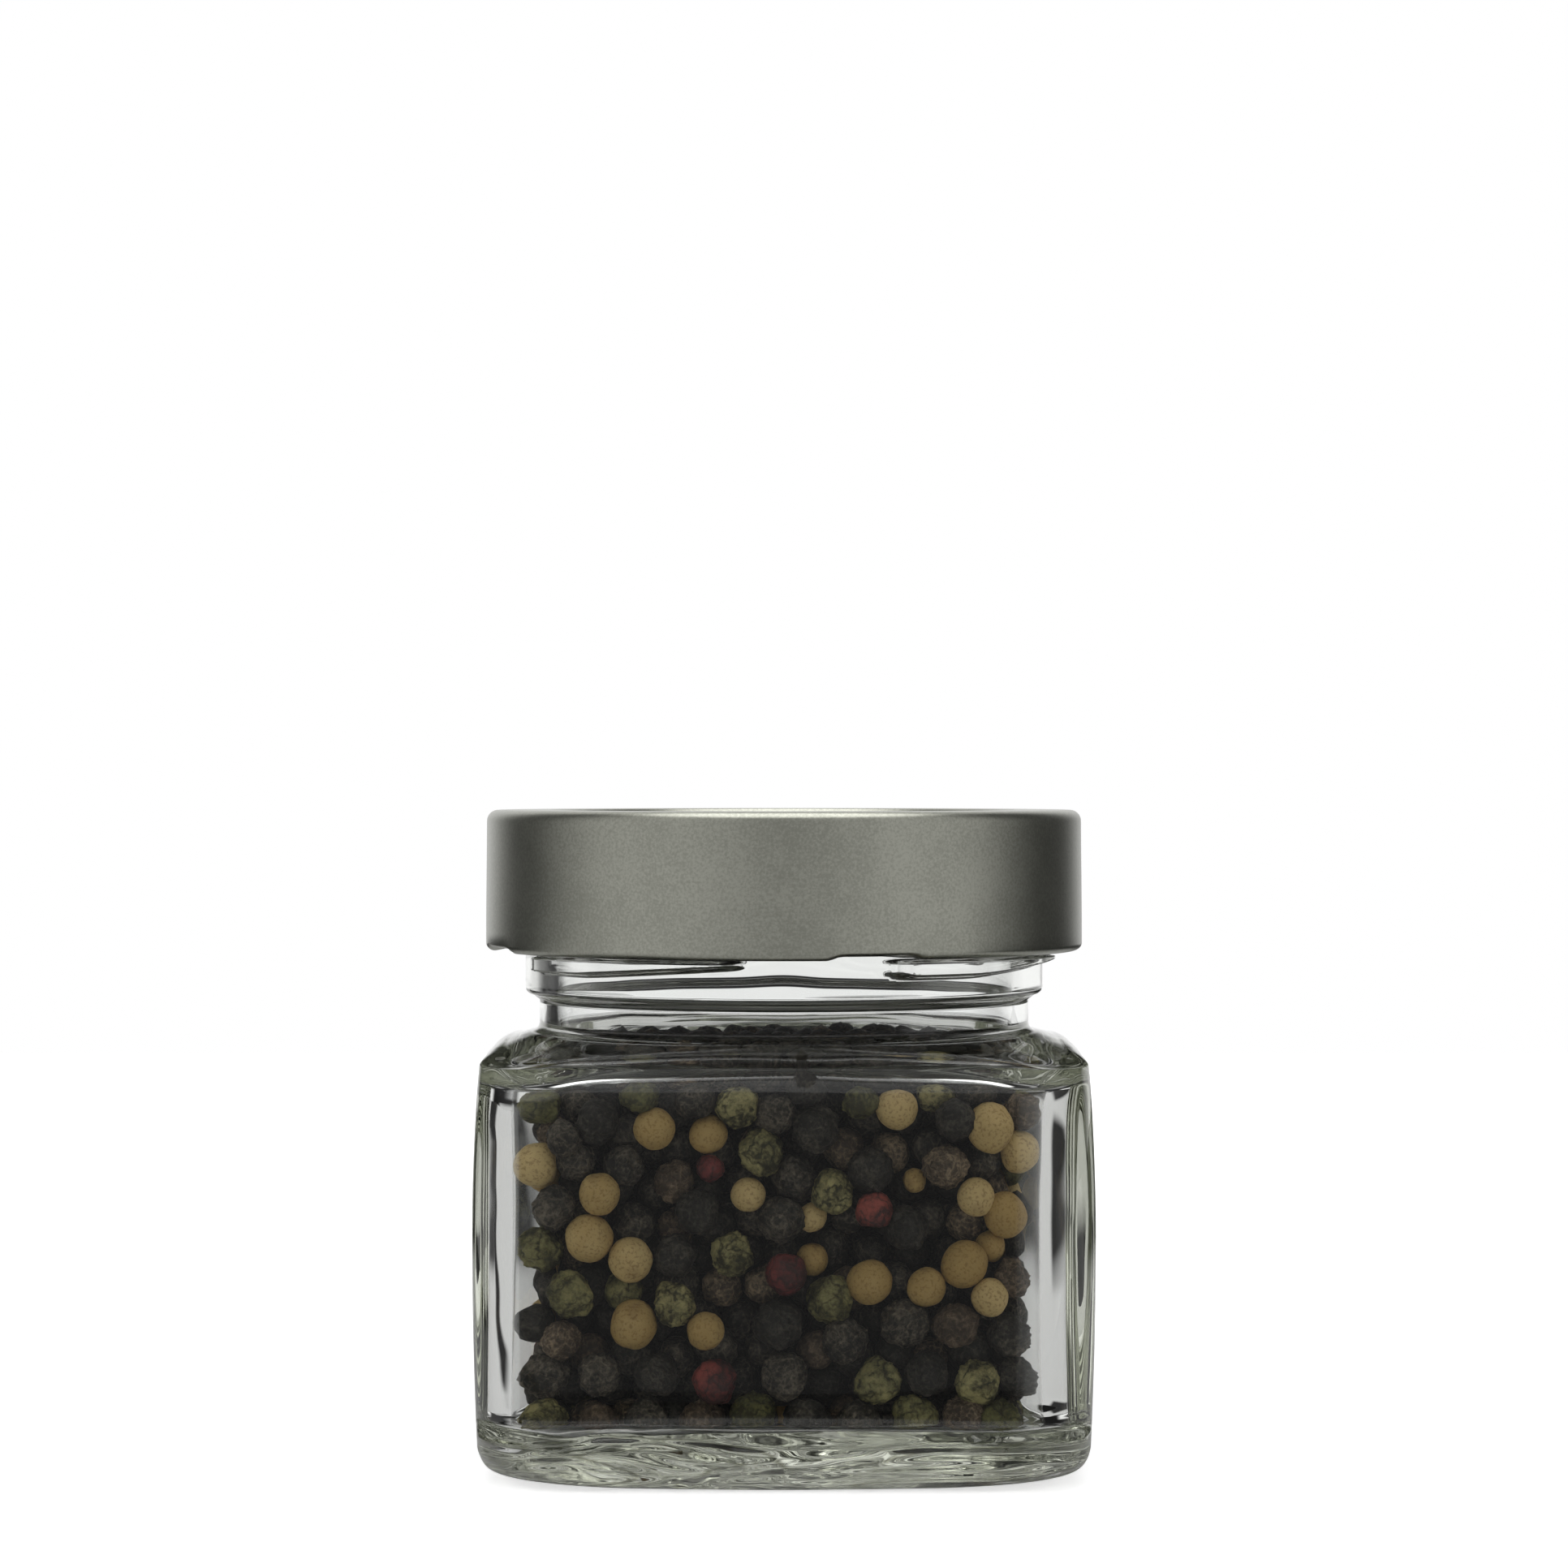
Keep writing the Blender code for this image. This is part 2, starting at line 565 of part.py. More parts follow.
def fill_top(shape, highest_row):
    """Grain tops and hollows over the mouth, triangulated inside the highest row."""
    limit = BORE_RADIUS - FILL_CLEARANCE - GRAIN_PITCH / 2
    row_step = GRAIN_PITCH * math.cos(QUARTER_TURN / 3)
    flat = [vert.co.xy.copy() for vert in highest_row]
    heights = [vert.co.z for vert in highest_row]
    reach = math.ceil(limit / row_step)
    crown = FILL_TOP_HEIGHT + FILL_CROWN
    for row in range(-reach, reach + 1):
        for step in range(-reach, reach + 1):
            across = (step + 0.5 * (row % 2)) * GRAIN_PITCH
            up = row * row_step
            low_up = up + row_step / 3
            spots = (
                (across, up, crown),
                (across + GRAIN_PITCH / 2, low_up, crown - GRAIN_RELIEF),
                (across, up + 2 * row_step / 3, crown - GRAIN_RELIEF),
            )
            for x, y, z in spots:
                if math.hypot(x, y) < limit:
                    flat.append(Vector((x, y)))
                    heights.append(z)
    border = list(range(len(highest_row)))
    solved = delaunay_2d_cdt(flat, [], [border], 1, FILL_CLEARANCE / 1000)
    points, _, triangles, sources = solved[:4]
    verts = []
    for point, source in zip(points, sources):
        origin = source[0]
        if origin < len(highest_row):
            verts.append(highest_row[origin])
        else:
            verts.append(shape.verts.new((point.x, point.y, heights[origin])))
    for triangle in triangles:
        shape.faces.new([verts[index] for index in triangle])


def grain_place(row):
    """Centre and radius of a loose grain that rests against the front glass."""
    across_share, up_share, size_share = row
    radius = GRAIN_DIAMETER * size_share / 2
    x = across_share * CAVITY_HALF_WIDTH
    z = FLOOR_THICKNESS + up_share * (CAVITY_WALL_TOP - FLOOR_THICKNESS)
    straight = CAVITY_HALF_WIDTH - CAVITY_CORNER_RADIUS
    bend = CAVITY_CORNER_RADIUS - GRAIN_CLEARANCE - radius
    past = min(max(abs(x) - straight, 0), bend)
    y = -(straight + math.sqrt(bend**2 - past**2))
    return Vector((x, y, z)), radius


def pocket_cutter(name, centre, radius):
    """A round-ended plug that opens the fill towards the glass, a little larger than the grain."""
    shape = bmesh.new()
    size = radius + GRAIN_CLEARANCE
    mouth = -centre.y - CAVITY_HALF_WIDTH - POCKET_OVERRUN
    profile = [(size, mouth)] + ellipse_run((0, 0), (size, size), 0, 0.67, 2)
    rings = []
    for across, depth in profile:
        ring = []
        for side in range(POCKET_SIDES):
            angle = FULL_TURN * side / POCKET_SIDES
            ring.append((across * math.cos(angle), depth, across * math.sin(angle)))
        rings.append(add_ring(shape, ring))
    for lower, upper in zip(rings, rings[1:]):
        join_rings(shape, lower, upper)
    close_with_point(shape, rings[-1], (0, size, 0))
    shape.faces.new(rings[0][::-1])
    return helper(object_from(shape, name, None, centre))


def make_peppercorn_bed(grains):
    shape = bmesh.new()
    lowest_row, highest_row = fill_wall(shape)
    fill_foot(shape, lowest_row)
    fill_top(shape, highest_row)
    dark = principled("black_peppercorn_fill", (0.045, 0.042, 0.040), 0.75)
    bed = object_from(shape, "peppercorn_bed", dark)
    for name, _, centre, radius in grains:
        tool = pocket_cutter("pocket_" + name, centre, radius)
        cut = bed.modifiers.new(tool.name, "BOOLEAN")
        cut.operation = "DIFFERENCE"
        cut.solver = "EXACT"
        cut.object = tool
    return bed


def list_loose_grains():
    """Every loose grain as (name, finish, centre, radius)."""
    kinds = (
        ("white", (0.46, 0.38, 0.24), WHITE_GRAIN_SHARES),
        ("green", (0.20, 0.20, 0.09), GREEN_GRAIN_SHARES),
        ("pink", (0.30, 0.06, 0.05), PINK_GRAIN_SHARES),
        ("brown", (0.14, 0.08, 0.05), BROWN_GRAIN_SHARES),
    )
    grains = []
    for kind, colour, rows in kinds:
        finish = principled(kind + "_peppercorn", colour, 0.7)
        for index, row in enumerate(rows):
            name = f"{kind}_peppercorn_{index + 1:02d}"
            grains.append((name, finish, *grain_place(row)))
    return grains


def make_loose_grain(name, finish, centre, radius):
    """A slightly flattened grain."""
    shape = bmesh.new()
    bmesh.ops.create_icosphere(shape, subdivisions=2, radius=radius)
    bmesh.ops.scale(shape, vec=(1, 1, GRAIN_SQUASH_SHARE), verts=shape.verts)
    return object_from(shape, name, finish, centre)


def main():
    remove_everything()
    grains = list_loose_grains()
    make_glass_jar()
    make_peppercorn_bed(grains)
    for grain in grains:
        make_loose_grain(*grain)
    make_sealing_ring()
    make_lid_shell()
    bpy.context.view_layer.update()
    print(f"rim at {RIM_HEIGHT:.5f} m, lid from {LID_BOTTOM:.5f} to {LID_TOP:.5f} m")
    print(f"the lid closes {CLOSING_DROP:.5f} m below its place here")


main()
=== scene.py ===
# %% [markdown]
# # A square glass jar of mixed peppercorns
#
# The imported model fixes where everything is: this lesson only dresses it. The glass and the lid get
# smoother skins of the same shape, the fill gets real peppercorns, and each surface gets a finish.
# Every shape is a function of two numbers, worked out with numpy for a whole grid at once.

import json
import math

import bpy
import numpy as np
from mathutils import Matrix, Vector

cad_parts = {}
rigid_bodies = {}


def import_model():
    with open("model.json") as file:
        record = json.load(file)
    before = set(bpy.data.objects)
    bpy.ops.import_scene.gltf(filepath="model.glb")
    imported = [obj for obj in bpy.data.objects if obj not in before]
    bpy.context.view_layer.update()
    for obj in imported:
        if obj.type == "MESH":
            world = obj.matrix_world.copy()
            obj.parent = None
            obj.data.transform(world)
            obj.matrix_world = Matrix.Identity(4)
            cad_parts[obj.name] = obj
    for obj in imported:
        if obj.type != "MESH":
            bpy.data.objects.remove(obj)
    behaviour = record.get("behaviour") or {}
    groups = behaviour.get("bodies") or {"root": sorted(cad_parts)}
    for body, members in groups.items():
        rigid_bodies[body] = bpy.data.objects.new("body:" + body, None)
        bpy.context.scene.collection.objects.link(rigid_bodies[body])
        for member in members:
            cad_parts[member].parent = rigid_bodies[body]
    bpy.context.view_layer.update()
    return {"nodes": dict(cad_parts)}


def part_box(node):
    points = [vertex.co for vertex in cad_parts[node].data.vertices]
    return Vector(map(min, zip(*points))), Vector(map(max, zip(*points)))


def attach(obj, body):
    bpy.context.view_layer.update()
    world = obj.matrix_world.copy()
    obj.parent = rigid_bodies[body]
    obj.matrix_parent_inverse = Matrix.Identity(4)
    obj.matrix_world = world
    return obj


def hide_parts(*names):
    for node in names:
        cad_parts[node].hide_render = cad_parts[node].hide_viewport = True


for thing in list(bpy.data.objects):
    bpy.data.objects.remove(thing)
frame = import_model()

# %% [markdown]
# ## Sizes
#
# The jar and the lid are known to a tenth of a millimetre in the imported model. Their profiles are
# repeated here with the same numbers, so that the new skins lie on the solids. Only the cavity
# leans aside, because the photograph shows a thinner wall at the left. One millimetre is the unit,
# because every size of a jar is easy to read in it.

# %% Sizes of the jar, its lid and the fill
MM = 0.001
lid_radius = 34.75 * MM
body_half = lid_radius - 0.18 * MM
cavity_half = body_half - 4.4 * MM
finish_radius = lid_radius - 4.55 * MM
bore_radius = finish_radius - 3.6 * MM
neck_radius = finish_radius - 1.65 * MM
body_corner = 9.0 * MM
cavity_corner = 7.0 * MM
heel_height = 4.5 * MM
heel_reach = 5.0 * MM
push_up = 1.2 * MM
band_width = 2.6 * MM
band_roundness = 0.54
shoulder_height = 46.3 * MM
widest_height = shoulder_height * 0.596
lower_bulge = 0.5 * MM
upper_bulge = 0.7 * MM
shoulder_edge = (2.1 * MM, 1.8 * MM)
corner_dip = 1.5 * MM
neck_foot = shoulder_height + 2.5 * MM
flare = 1.0 * MM
bead_edge = 0.7 * MM
bead_foot = neck_foot + 3.7 * MM
thread_top = bead_foot + 5.5 * MM
floor_height = 5.0 * MM
floor_edge = 2.6 * MM
wall_top = shoulder_height - 2.7 * MM
arch_rise = 4.4 * MM
rim_height = 69.1 * MM
rim_edge = 1.2 * MM
wall_lean = -0.45 * MM
lid_bottom, lid_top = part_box("lid_shell")[0].z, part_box("lid_shell")[1].z
print(f"lid from {lid_bottom / MM:.2f} to {lid_top / MM:.2f} mm, rim at {rim_height / MM:.2f} mm")

# %% [markdown]
# ## Grids into meshes
#
# A surface that closes on itself sideways is a stack of rings. Each ring joins the next with quads,
# and a single point closes each end. The same helper makes one jar or hundreds of peppercorns,
# because it takes a whole batch of equal grids. Blender's own spheres and cylinders would be
# quicker to add, but every point here has to be free to follow a formula.

# %% A helper that turns stacks of rings into one mesh
def rings_mesh(name, rings, poles, values=None):
    """One mesh from grids of points.

    rings has the shape (copies, rings, points round, 3) and poles (copies, 2, 3): the point before
    the first ring and the one after the last. The faces' order turns round where the enclosed
    volume, the sum of each face's corner products, comes out negative.
    """
    copies, count, around = rings.shape[:3]
    size = count * around + 2
    points = np.concatenate([rings.reshape(copies, -1, 3), poles], axis=1).reshape(-1, 3)
    row, column = np.meshgrid(np.arange(count - 1), np.arange(around), indexing="ij")
    beyond = (column + 1) % around
    this_ring, next_ring = row * around, (row + 1) * around
    quads = np.stack(
        [this_ring + column, this_ring + beyond, next_ring + beyond, next_ring + column], axis=-1
    ).reshape(-1, 4)
    here = np.arange(around)
    after = (here + 1) % around
    last = (count - 1) * around
    foot = np.stack([np.full(around, size - 2), after, here], axis=-1)
    head = np.stack([last + here, last + after, np.full(around, size - 1)], axis=-1)
    fans = np.concatenate([foot, head])
    first = points[:size]
    corners = first[np.concatenate([quads[:, [0, 1, 2]], quads[:, [0, 2, 3]], fans])]
    volume = np.einsum("ij,ij->i", corners[:, 0], np.cross(corners[:, 1], corners[:, 2])).sum()
    if volume < 0:
        quads, fans = quads[:, ::-1], fans[:, ::-1]
    shift = (np.arange(copies) * size)[:, None, None]
    quads = (quads[None] + shift).reshape(-1, 4)
    fans = (fans[None] + shift).reshape(-1, 3)
    mesh = bpy.data.meshes.new(name)
    mesh.vertices.add(len(points))
    mesh.vertices.foreach_set("co", points.astype(np.float32).ravel())
    mesh.loops.add(quads.size + fans.size)
    mesh.loops.foreach_set("vertex_index", np.concatenate([quads.ravel(), fans.ravel()]))
    mesh.polygons.add(len(quads) + len(fans))
    starts = np.concatenate([np.arange(len(quads)) * 4, quads.size + np.arange(len(fans)) * 3])
    mesh.polygons.foreach_set("loop_start", starts)
    mesh.update(calc_edges=True)
    mesh.shade_smooth()
    for key, numbers in (values or {}).items():
        attribute = mesh.attributes.new(key, "FLOAT", "POINT")
        attribute.data.foreach_set("value", numbers.astype(np.float32).ravel())
    made = bpy.data.objects.new(name, mesh)
    bpy.context.scene.collection.objects.link(made)
    print(f"{name}: {copies} grids, {len(quads) * 2 + len(fans)} triangles")
    return made


# %% [markdown]
# ## Smooth chance
#
# Moulded glass is never quite flat and no two dried berries are alike. Value noise gives both: a
# random number sits at each corner of a lattice of cubes, and between the corners the numbers run
# smoothly into each other. Three large odd numbers scramble a corner's place into a row of one
# seeded table, so each run looks the same.

# %% Value noise on a lattice
chance = np.random.default_rng(20)
table_size = 4096
lattice = chance.uniform(-1, 1, table_size).astype(np.float32)
scramble = np.array([73856093, 19349663, 83492791])
scramble_seed = 2654435


def value_noise(points, seed=0):
    """Smooth noise from -1 to 1: the corner numbers of a cube, mixed by 3t^2 - 2t^3 each way."""
    cell = np.floor(points).astype(np.int64)
    part = (points - cell).astype(np.float32)
    part = part * part * (3 - 2 * part)
    total = np.zeros(points.shape[:-1], np.float32)
    for corner in range(8):
        step = np.array([corner & 1, corner >> 1 & 1, corner >> 2 & 1])
        place = (cell + step) * scramble
        key = place[..., 0] ^ place[..., 1] ^ place[..., 2] ^ (seed * scramble_seed)
        key = key & (table_size - 1)
        weight = np.where(step == 1, part, 1 - part).prod(axis=-1)
        total += lattice[key] * weight
    return total


print("noise sample:", value_noise(np.array([[0.3, 0.7, 0.1]])))

# %% [markdown]
# ## The glass jar
#
# The real jar is one piece of glass, blown in a mould: a rounded square body whose sides bulge a
# little, a flat shoulder, and a round neck with four short threads. A profile says how wide and how
# round the jar is at each level, from the push-up under the base, up the outside, over the rim and
# down the inside. Sweeping it round gives one closed skin with real wall thickness, which is what
# bends the light. A Solidify modifier would give an even wall, and this wall isn't even.

# %% Rounded square sections
def section(half, corner, roundness, turns):
    """Rounded square mixed with a circle of the same half width.

    A quarter gives a quarter of its points to each half side and the rest to the corner's arc.
    """
    quarter, along = np.divmod(4 * turns, 1)
    straight = half - corner
    arc = (np.pi / 2) * np.clip((along - 0.25) / 0.5, 0, 1)
    x = np.where(along < 0.25, half, straight + corner * np.cos(arc))
    y = np.where(along > 0.75, half, straight + corner * np.sin(arc))
    x = np.where(along > 0.75, straight * (1 - along) * 4, x)
    y = np.where(along < 0.25, straight * along * 4, y)
    angle = (np.pi / 2) * along
    x = x + roundness * (half * np.cos(angle) - x)
    y = y + roundness * (half * np.sin(angle) - y)
    turn = (np.pi / 2) * quarter
    return x * np.cos(turn) - y * np.sin(turn), x * np.sin(turn) + y * np.cos(turn)


def arc_run(centre, radii, start, end, steps):
    """Points along part of an ellipse: centre plus radii times cosine and sine; quarter turns."""
    angle = (np.pi / 2) * np.linspace(start, end, steps)
    return centre[0] + radii[0] * np.cos(angle), centre[1] + radii[1] * np.sin(angle)


def smooth_step(low, high, value):
    """Runs from 0 to 1 between low and high as 3t^2 - 2t^3."""
    share = np.clip((value - low) / (high - low), 0, 1)
    return share * share * (3 - 2 * share)


def body_half_at(height):
    """Half width of the outer wall: two shallow parabolas that meet at the widest level."""
    below = lower_bulge * ((widest_height - height) / (widest_height - heel_height)) ** 2
    above = upper_bulge * ((height - widest_height) / (shoulder_height - widest_height)) ** 2
    return body_half - np.where(height < widest_height, below, above)


def cavity_half_at(height):
    """Half width and roundness of the cavity: its walls arch in to the bore at the shoulder."""
    roundness = 1 - np.cos((np.pi / 2) * np.clip((height - wall_top) / arch_rise, 0, 1))
    return cavity_half - (cavity_half - bore_radius) * roundness, roundness


def lean_at(height):
    """How far the cavity leans aside: fully in the body, and not at all in the bore."""
    return wall_lean * smooth_step(wall_top + arch_rise, wall_top - 4 * MM, height)


print(f"body {2000 * body_half:.2f} mm wide, cavity {2000 * cavity_half:.2f} mm")

# %% The jar's profile, from the push-up over the rim to the inner floor
profile = []


def add_run(half, height, corner=body_corner, roundness=0.0, dip=0.0, ripple=0.0):
    """Adds levels to the profile; ripple says how uneven the glass is there, in millimetres."""
    half, height = np.broadcast_arrays(np.asarray(half, float), np.asarray(height, float))
    rest = [np.broadcast_to(value, half.shape) for value in (corner, roundness, dip, ripple)]
    profile.append(np.stack([half, height, *rest], axis=-1))


bearing_outer = body_half_at(heel_height) - heel_reach
bearing_inner = bearing_outer - band_width
share = np.linspace(0.06, 0.96, 15)
roundness = 1 - (1 - band_roundness) * share**3
add_run(bearing_inner * share, push_up * (1 - share**4), roundness=roundness, ripple=0.10)
add_run(np.linspace(bearing_inner, bearing_outer, 5)[:-1], 0.0, roundness=band_roundness)
across, up = arc_run((bearing_outer, heel_height), (heel_reach, heel_height), -1, 0, 26)
roundness = band_roundness * (1 - up / heel_height) ** 6
add_run(across, up, roundness=roundness, ripple=0.10 * np.sin(np.pi * up / heel_height) ** 0.5)
up = np.linspace(heel_height, shoulder_height, 30)[1:-1]
add_run(body_half_at(up), up, ripple=0.012)
shoulder_inner = body_half_at(shoulder_height) - shoulder_edge[0]
shoulder_top = shoulder_height + shoulder_edge[1]
across, up = arc_run((shoulder_inner, shoulder_height), shoulder_edge, 0, 1, 16)
add_run(across, up, dip=corner_dip * (up - shoulder_height) / shoulder_edge[1], ripple=0.05)
share = np.linspace(0, 1, 12)[1:-1]
flare_edge = neck_radius + flare
across = shoulder_inner + (flare_edge - shoulder_inner) * share
up = shoulder_top + (neck_foot - shoulder_top) * share
add_run(across, up, roundness=share, dip=corner_dip * (1 - share), ripple=0.06)
across, up = arc_run((flare_edge, neck_foot + flare), (flare, flare), -1, -2, 9)
add_run(across, up, roundness=1.0, ripple=0.02)
add_run(neck_radius, np.linspace(neck_foot + 1.2 * MM, bead_foot, 8), roundness=1.0, ripple=0.02)
centre = (finish_radius - bead_edge, bead_foot + 2 * bead_edge)
across, up = arc_run(centre, (bead_edge, bead_edge), -1, 0, 8)
add_run(across, up, roundness=1.0)
up = np.concatenate([
    np.linspace(bead_foot + 2.2 * bead_edge, thread_top - 2.6 * MM, 4),
    np.linspace(thread_top - 2.4 * MM, thread_top + 0.4 * MM, 29),
    np.linspace(thread_top + 0.7 * MM, rim_height - 1.4 * MM, 7),
])
add_run(finish_radius, up, roundness=1.0, ripple=0.02)
rim_arc = rim_height - rim_edge
across, up = arc_run((finish_radius - rim_edge, rim_arc), (rim_edge, rim_edge), 0, 1, 9)
add_run(across, up, roundness=1.0)
across, up = arc_run((bore_radius + rim_edge, rim_arc), (rim_edge, rim_edge), 1, 2, 9)
add_run(across, up, corner=cavity_corner, roundness=1.0)
levels_outside = sum(len(run) for run in profile)
up = np.linspace(rim_height - 1.6 * MM, wall_top + arch_rise + 0.4 * MM, 12)
add_run(bore_radius, up, corner=cavity_corner, roundness=1.0, ripple=0.012)
up = np.linspace(wall_top + arch_rise, wall_top, 20)
across, roundness = cavity_half_at(up)
add_run(across, up, corner=cavity_corner, roundness=roundness, ripple=0.10)
flat_floor, floor_arc = cavity_half - floor_edge, floor_height + floor_edge
up = np.linspace(wall_top, floor_arc, 26)[1:-1]
add_run(cavity_half, up, corner=cavity_corner, ripple=0.02)
across, up = arc_run((flat_floor, floor_arc), (floor_edge, floor_edge), 0, -1, 16)
add_run(across, up, corner=cavity_corner, ripple=0.16)
share = np.linspace(1, 0.05, 14)[1:]
roundness = 1 - share**3
add_run(flat_floor * share, floor_height, corner=cavity_corner, roundness=roundness, ripple=0.22)
profile = np.concatenate(profile)
print("levels in the jar's profile:", len(profile))

# %% [markdown]
# ## Threads and ripples
#
# A lug thread is a short ridge whose underside climbs, so that a fifth of a turn pulls the lid
# down. On the real jar its flanks are soft, because glass doesn't fill a sharp mould. The ridge is
# added to the finish's radius as a smooth hill, and then the whole skin moves a few hundredths of
# a millimetre in and out, more in the thick base, where the mould's chill leaves ripples. Places
# round the threads and the lugs are parts of a turn.

# %% The jar's skin
around = 240
turns = np.arange(around) / around
thread_start, thread_full = 0.0611, 0.0741
thread_fading, thread_end = 0.2120, 0.2250
climb_start = 0.1222
thread_reach = thread_depth = 2.0 * MM
thread_climb = 1.2 * MM
coarse_ripple, fine_ripple, layer_ripple = 9 * MM, 4.5 * MM, np.array([9.0, 9.0, 1.6]) * MM
rounding_passes = 6


def thread_over_finish(turn_from_front, height):
    """Reach of the ridge over the finish: 2 mm between its climbing underside and its top."""
    turn = turn_from_front % 0.25
    begun = smooth_step(thread_start, thread_full, turn)
    ends = begun * (1 - smooth_step(thread_fading, thread_end, turn))
    climb = np.clip((turn - climb_start) / (thread_end - climb_start), 0, 1)
    underside = thread_top - thread_depth + thread_climb * np.maximum(climb, 0.5 * (1 - begun))
    below = smooth_step(underside - 0.15 * MM, underside + 0.40 * MM, height)
    above = 1 - smooth_step(thread_top - 0.30 * MM, thread_top + 0.15 * MM, height)
    return thread_reach * ends * below * above


def moved_along_normals(grid, amount):
    """Moves a grid of points along its own normals, the cross product of its two directions."""
    down = np.gradient(grid, axis=0)
    sideways = (np.roll(grid, -1, axis=1) - np.roll(grid, 1, axis=1)) / 2
    normal = np.cross(sideways, down)
    normal /= np.maximum(np.linalg.norm(normal, axis=-1, keepdims=True), 1e-12)
    return grid + normal * amount[..., None]


half, height, corner, roundness, dip, ripple = (profile[:, [k]] for k in range(6))
x, y = section(half, corner, roundness, turns[None, :])
for _ in range(rounding_passes):
    x = (np.roll(x, 1, axis=1) + 2 * x + np.roll(x, -1, axis=1)) / 4
    y = (np.roll(y, 1, axis=1) + 2 * y + np.roll(y, -1, axis=1)) / 4
z = height - dip * np.sin(4 * np.pi * turns[None, :]) ** 2
outside = np.arange(len(profile))[:, None] < levels_outside
on_finish = outside & (height > bead_foot + 2 * bead_edge) & (height < rim_arc)
reach = thread_over_finish(turns[None, :] + 0.25, height) * on_finish
x = x * (1 + reach / finish_radius)
y = y * (1 + reach / finish_radius)
skin = np.stack([x, y, z + 0 * x], axis=-1)
wave = value_noise(skin / coarse_ripple, 1) + 0.5 * value_noise(skin / fine_ripple, 2)
streak = value_noise(skin / layer_ripple, 3)
in_base = smooth_step(10 * MM, 2 * MM, z)
unevenness = wave * (1 - 0.5 * in_base) + 0.8 * streak * in_base
skin = moved_along_normals(skin, ripple * MM * unevenness)
skin[..., 2] = np.maximum(skin[..., 2], 0)
skin[..., 0] += ~outside * lean_at(z)
ends = np.array([[[0, 0, push_up], [0, 0, floor_height]]])
jar = rings_mesh("jar_glass_skin", skin[None], ends)

# %% [markdown]
# ## The lid
#
# A deep twist-off lid is pressed from lacquered tinplate. Its rim is rolled inwards, and in four
# places the roll is pushed further in to make the lugs. The profile runs from the middle of the
# panel over the edge, down the skirt, round the roll and back up inside. How far the roll is pushed
# in changes smoothly round the lid.

# %% The lid's skin
lid_height = lid_top - lid_bottom
metal = 0.35 * MM
edge = 1.3 * MM
panel = lid_radius - 8.15 * MM
panel_step = 1.0 * MM
panel_depth = 0.8 * MM
step_top = panel + 0.6 * MM
draft = 0.1 * MM
top_radius = lid_radius - draft
panel_height = lid_height - panel_depth
roll_width, roll_height, roll_end = 1.9 * MM, 1.7 * MM, -2.6
lug_width = lid_radius - finish_radius - 0.3 * MM
lug_height = 1.1 * MM
lug_lift = 0.4 * MM
lug_turn, lug_full, lug_gone = 0.0483, 0.0178, 0.0264


def lid_levels(pushed):
    """Rings of the lid for an array of push shares: (levels, turns) of radius and height."""
    one = np.ones_like(pushed)[None, :]
    runs = []

    def run(radius, height):
        radius, height = np.broadcast_arrays(np.atleast_1d(radius), np.atleast_1d(height))
        runs.append((radius[:, None] * one, height[:, None] * one))

    share = np.linspace(0, 1, 9)
    run(np.linspace(1 * MM, panel - 0.3 * MM, 20), panel_height)
    rise = panel_depth * smooth_step(0, 1, share)
    run(panel - 0.2 * MM + panel_step * share, panel_height + rise)
    run(np.linspace(step_top + 0.5 * MM, top_radius - edge - 0.4 * MM, 6), lid_height)
    run(*arc_run((top_radius - edge, lid_height - edge), (edge, edge), 1, 0, 14))
    drop = np.linspace(lid_height - edge - 0.4 * MM, 2.2 * MM, 26)
    run(top_radius + draft * smooth_step(lid_height, 2 * MM, drop), drop)
    width = roll_width + pushed * (lug_width - roll_width)
    tall = roll_height + pushed * (lug_height - roll_height)
    centre = lid_radius - width / 2
    middle = pushed * lug_lift + tall / 2
    angle = (np.pi / 2) * np.linspace(0, roll_end, 22)[:, None]
    runs.append((centre + width / 2 * np.cos(angle), middle + tall / 2 * np.sin(angle)))
    inner = top_radius - metal
    run(inner, np.linspace(2.05 * MM, lid_height - edge, 18))
    run(*arc_run((top_radius - edge, lid_height - edge), (edge - metal, edge - metal), 0, 1, 8))
    run(np.linspace(top_radius - edge - 0.5 * MM, step_top + 0.6 * MM, 6), lid_height - metal)
    share = np.linspace(1, 0, 7)
    rise = panel_depth * smooth_step(0, 1, share)
    run(panel - 0.1 * MM + panel_step * share, panel_height - metal + rise)
    run(np.linspace(panel - 0.4 * MM, 1 * MM, 12), panel_height - metal)
    return np.concatenate([r for r, _ in runs]), np.concatenate([h for _, h in runs])


lid_around = 320
lid_turns = np.arange(lid_around) / lid_around
from_lug = np.abs((lid_turns - lug_turn + 0.125) % 0.25 - 0.125)
pushed = 1 - smooth_step(lug_full, lug_gone, from_lug)
radius, level = lid_levels(pushed)
angle = 2 * np.pi * lid_turns[None, :] - np.pi / 2
lid_rings = np.stack([radius * np.cos(angle), radius * np.sin(angle), lid_bottom + level], axis=-1)
panel_middle = lid_bottom + panel_height
lid_ends = np.array([[[0, 0, panel_middle], [0, 0, panel_middle - metal]]])
lid = rings_mesh("lid_metal_skin", lid_rings[None], lid_ends)
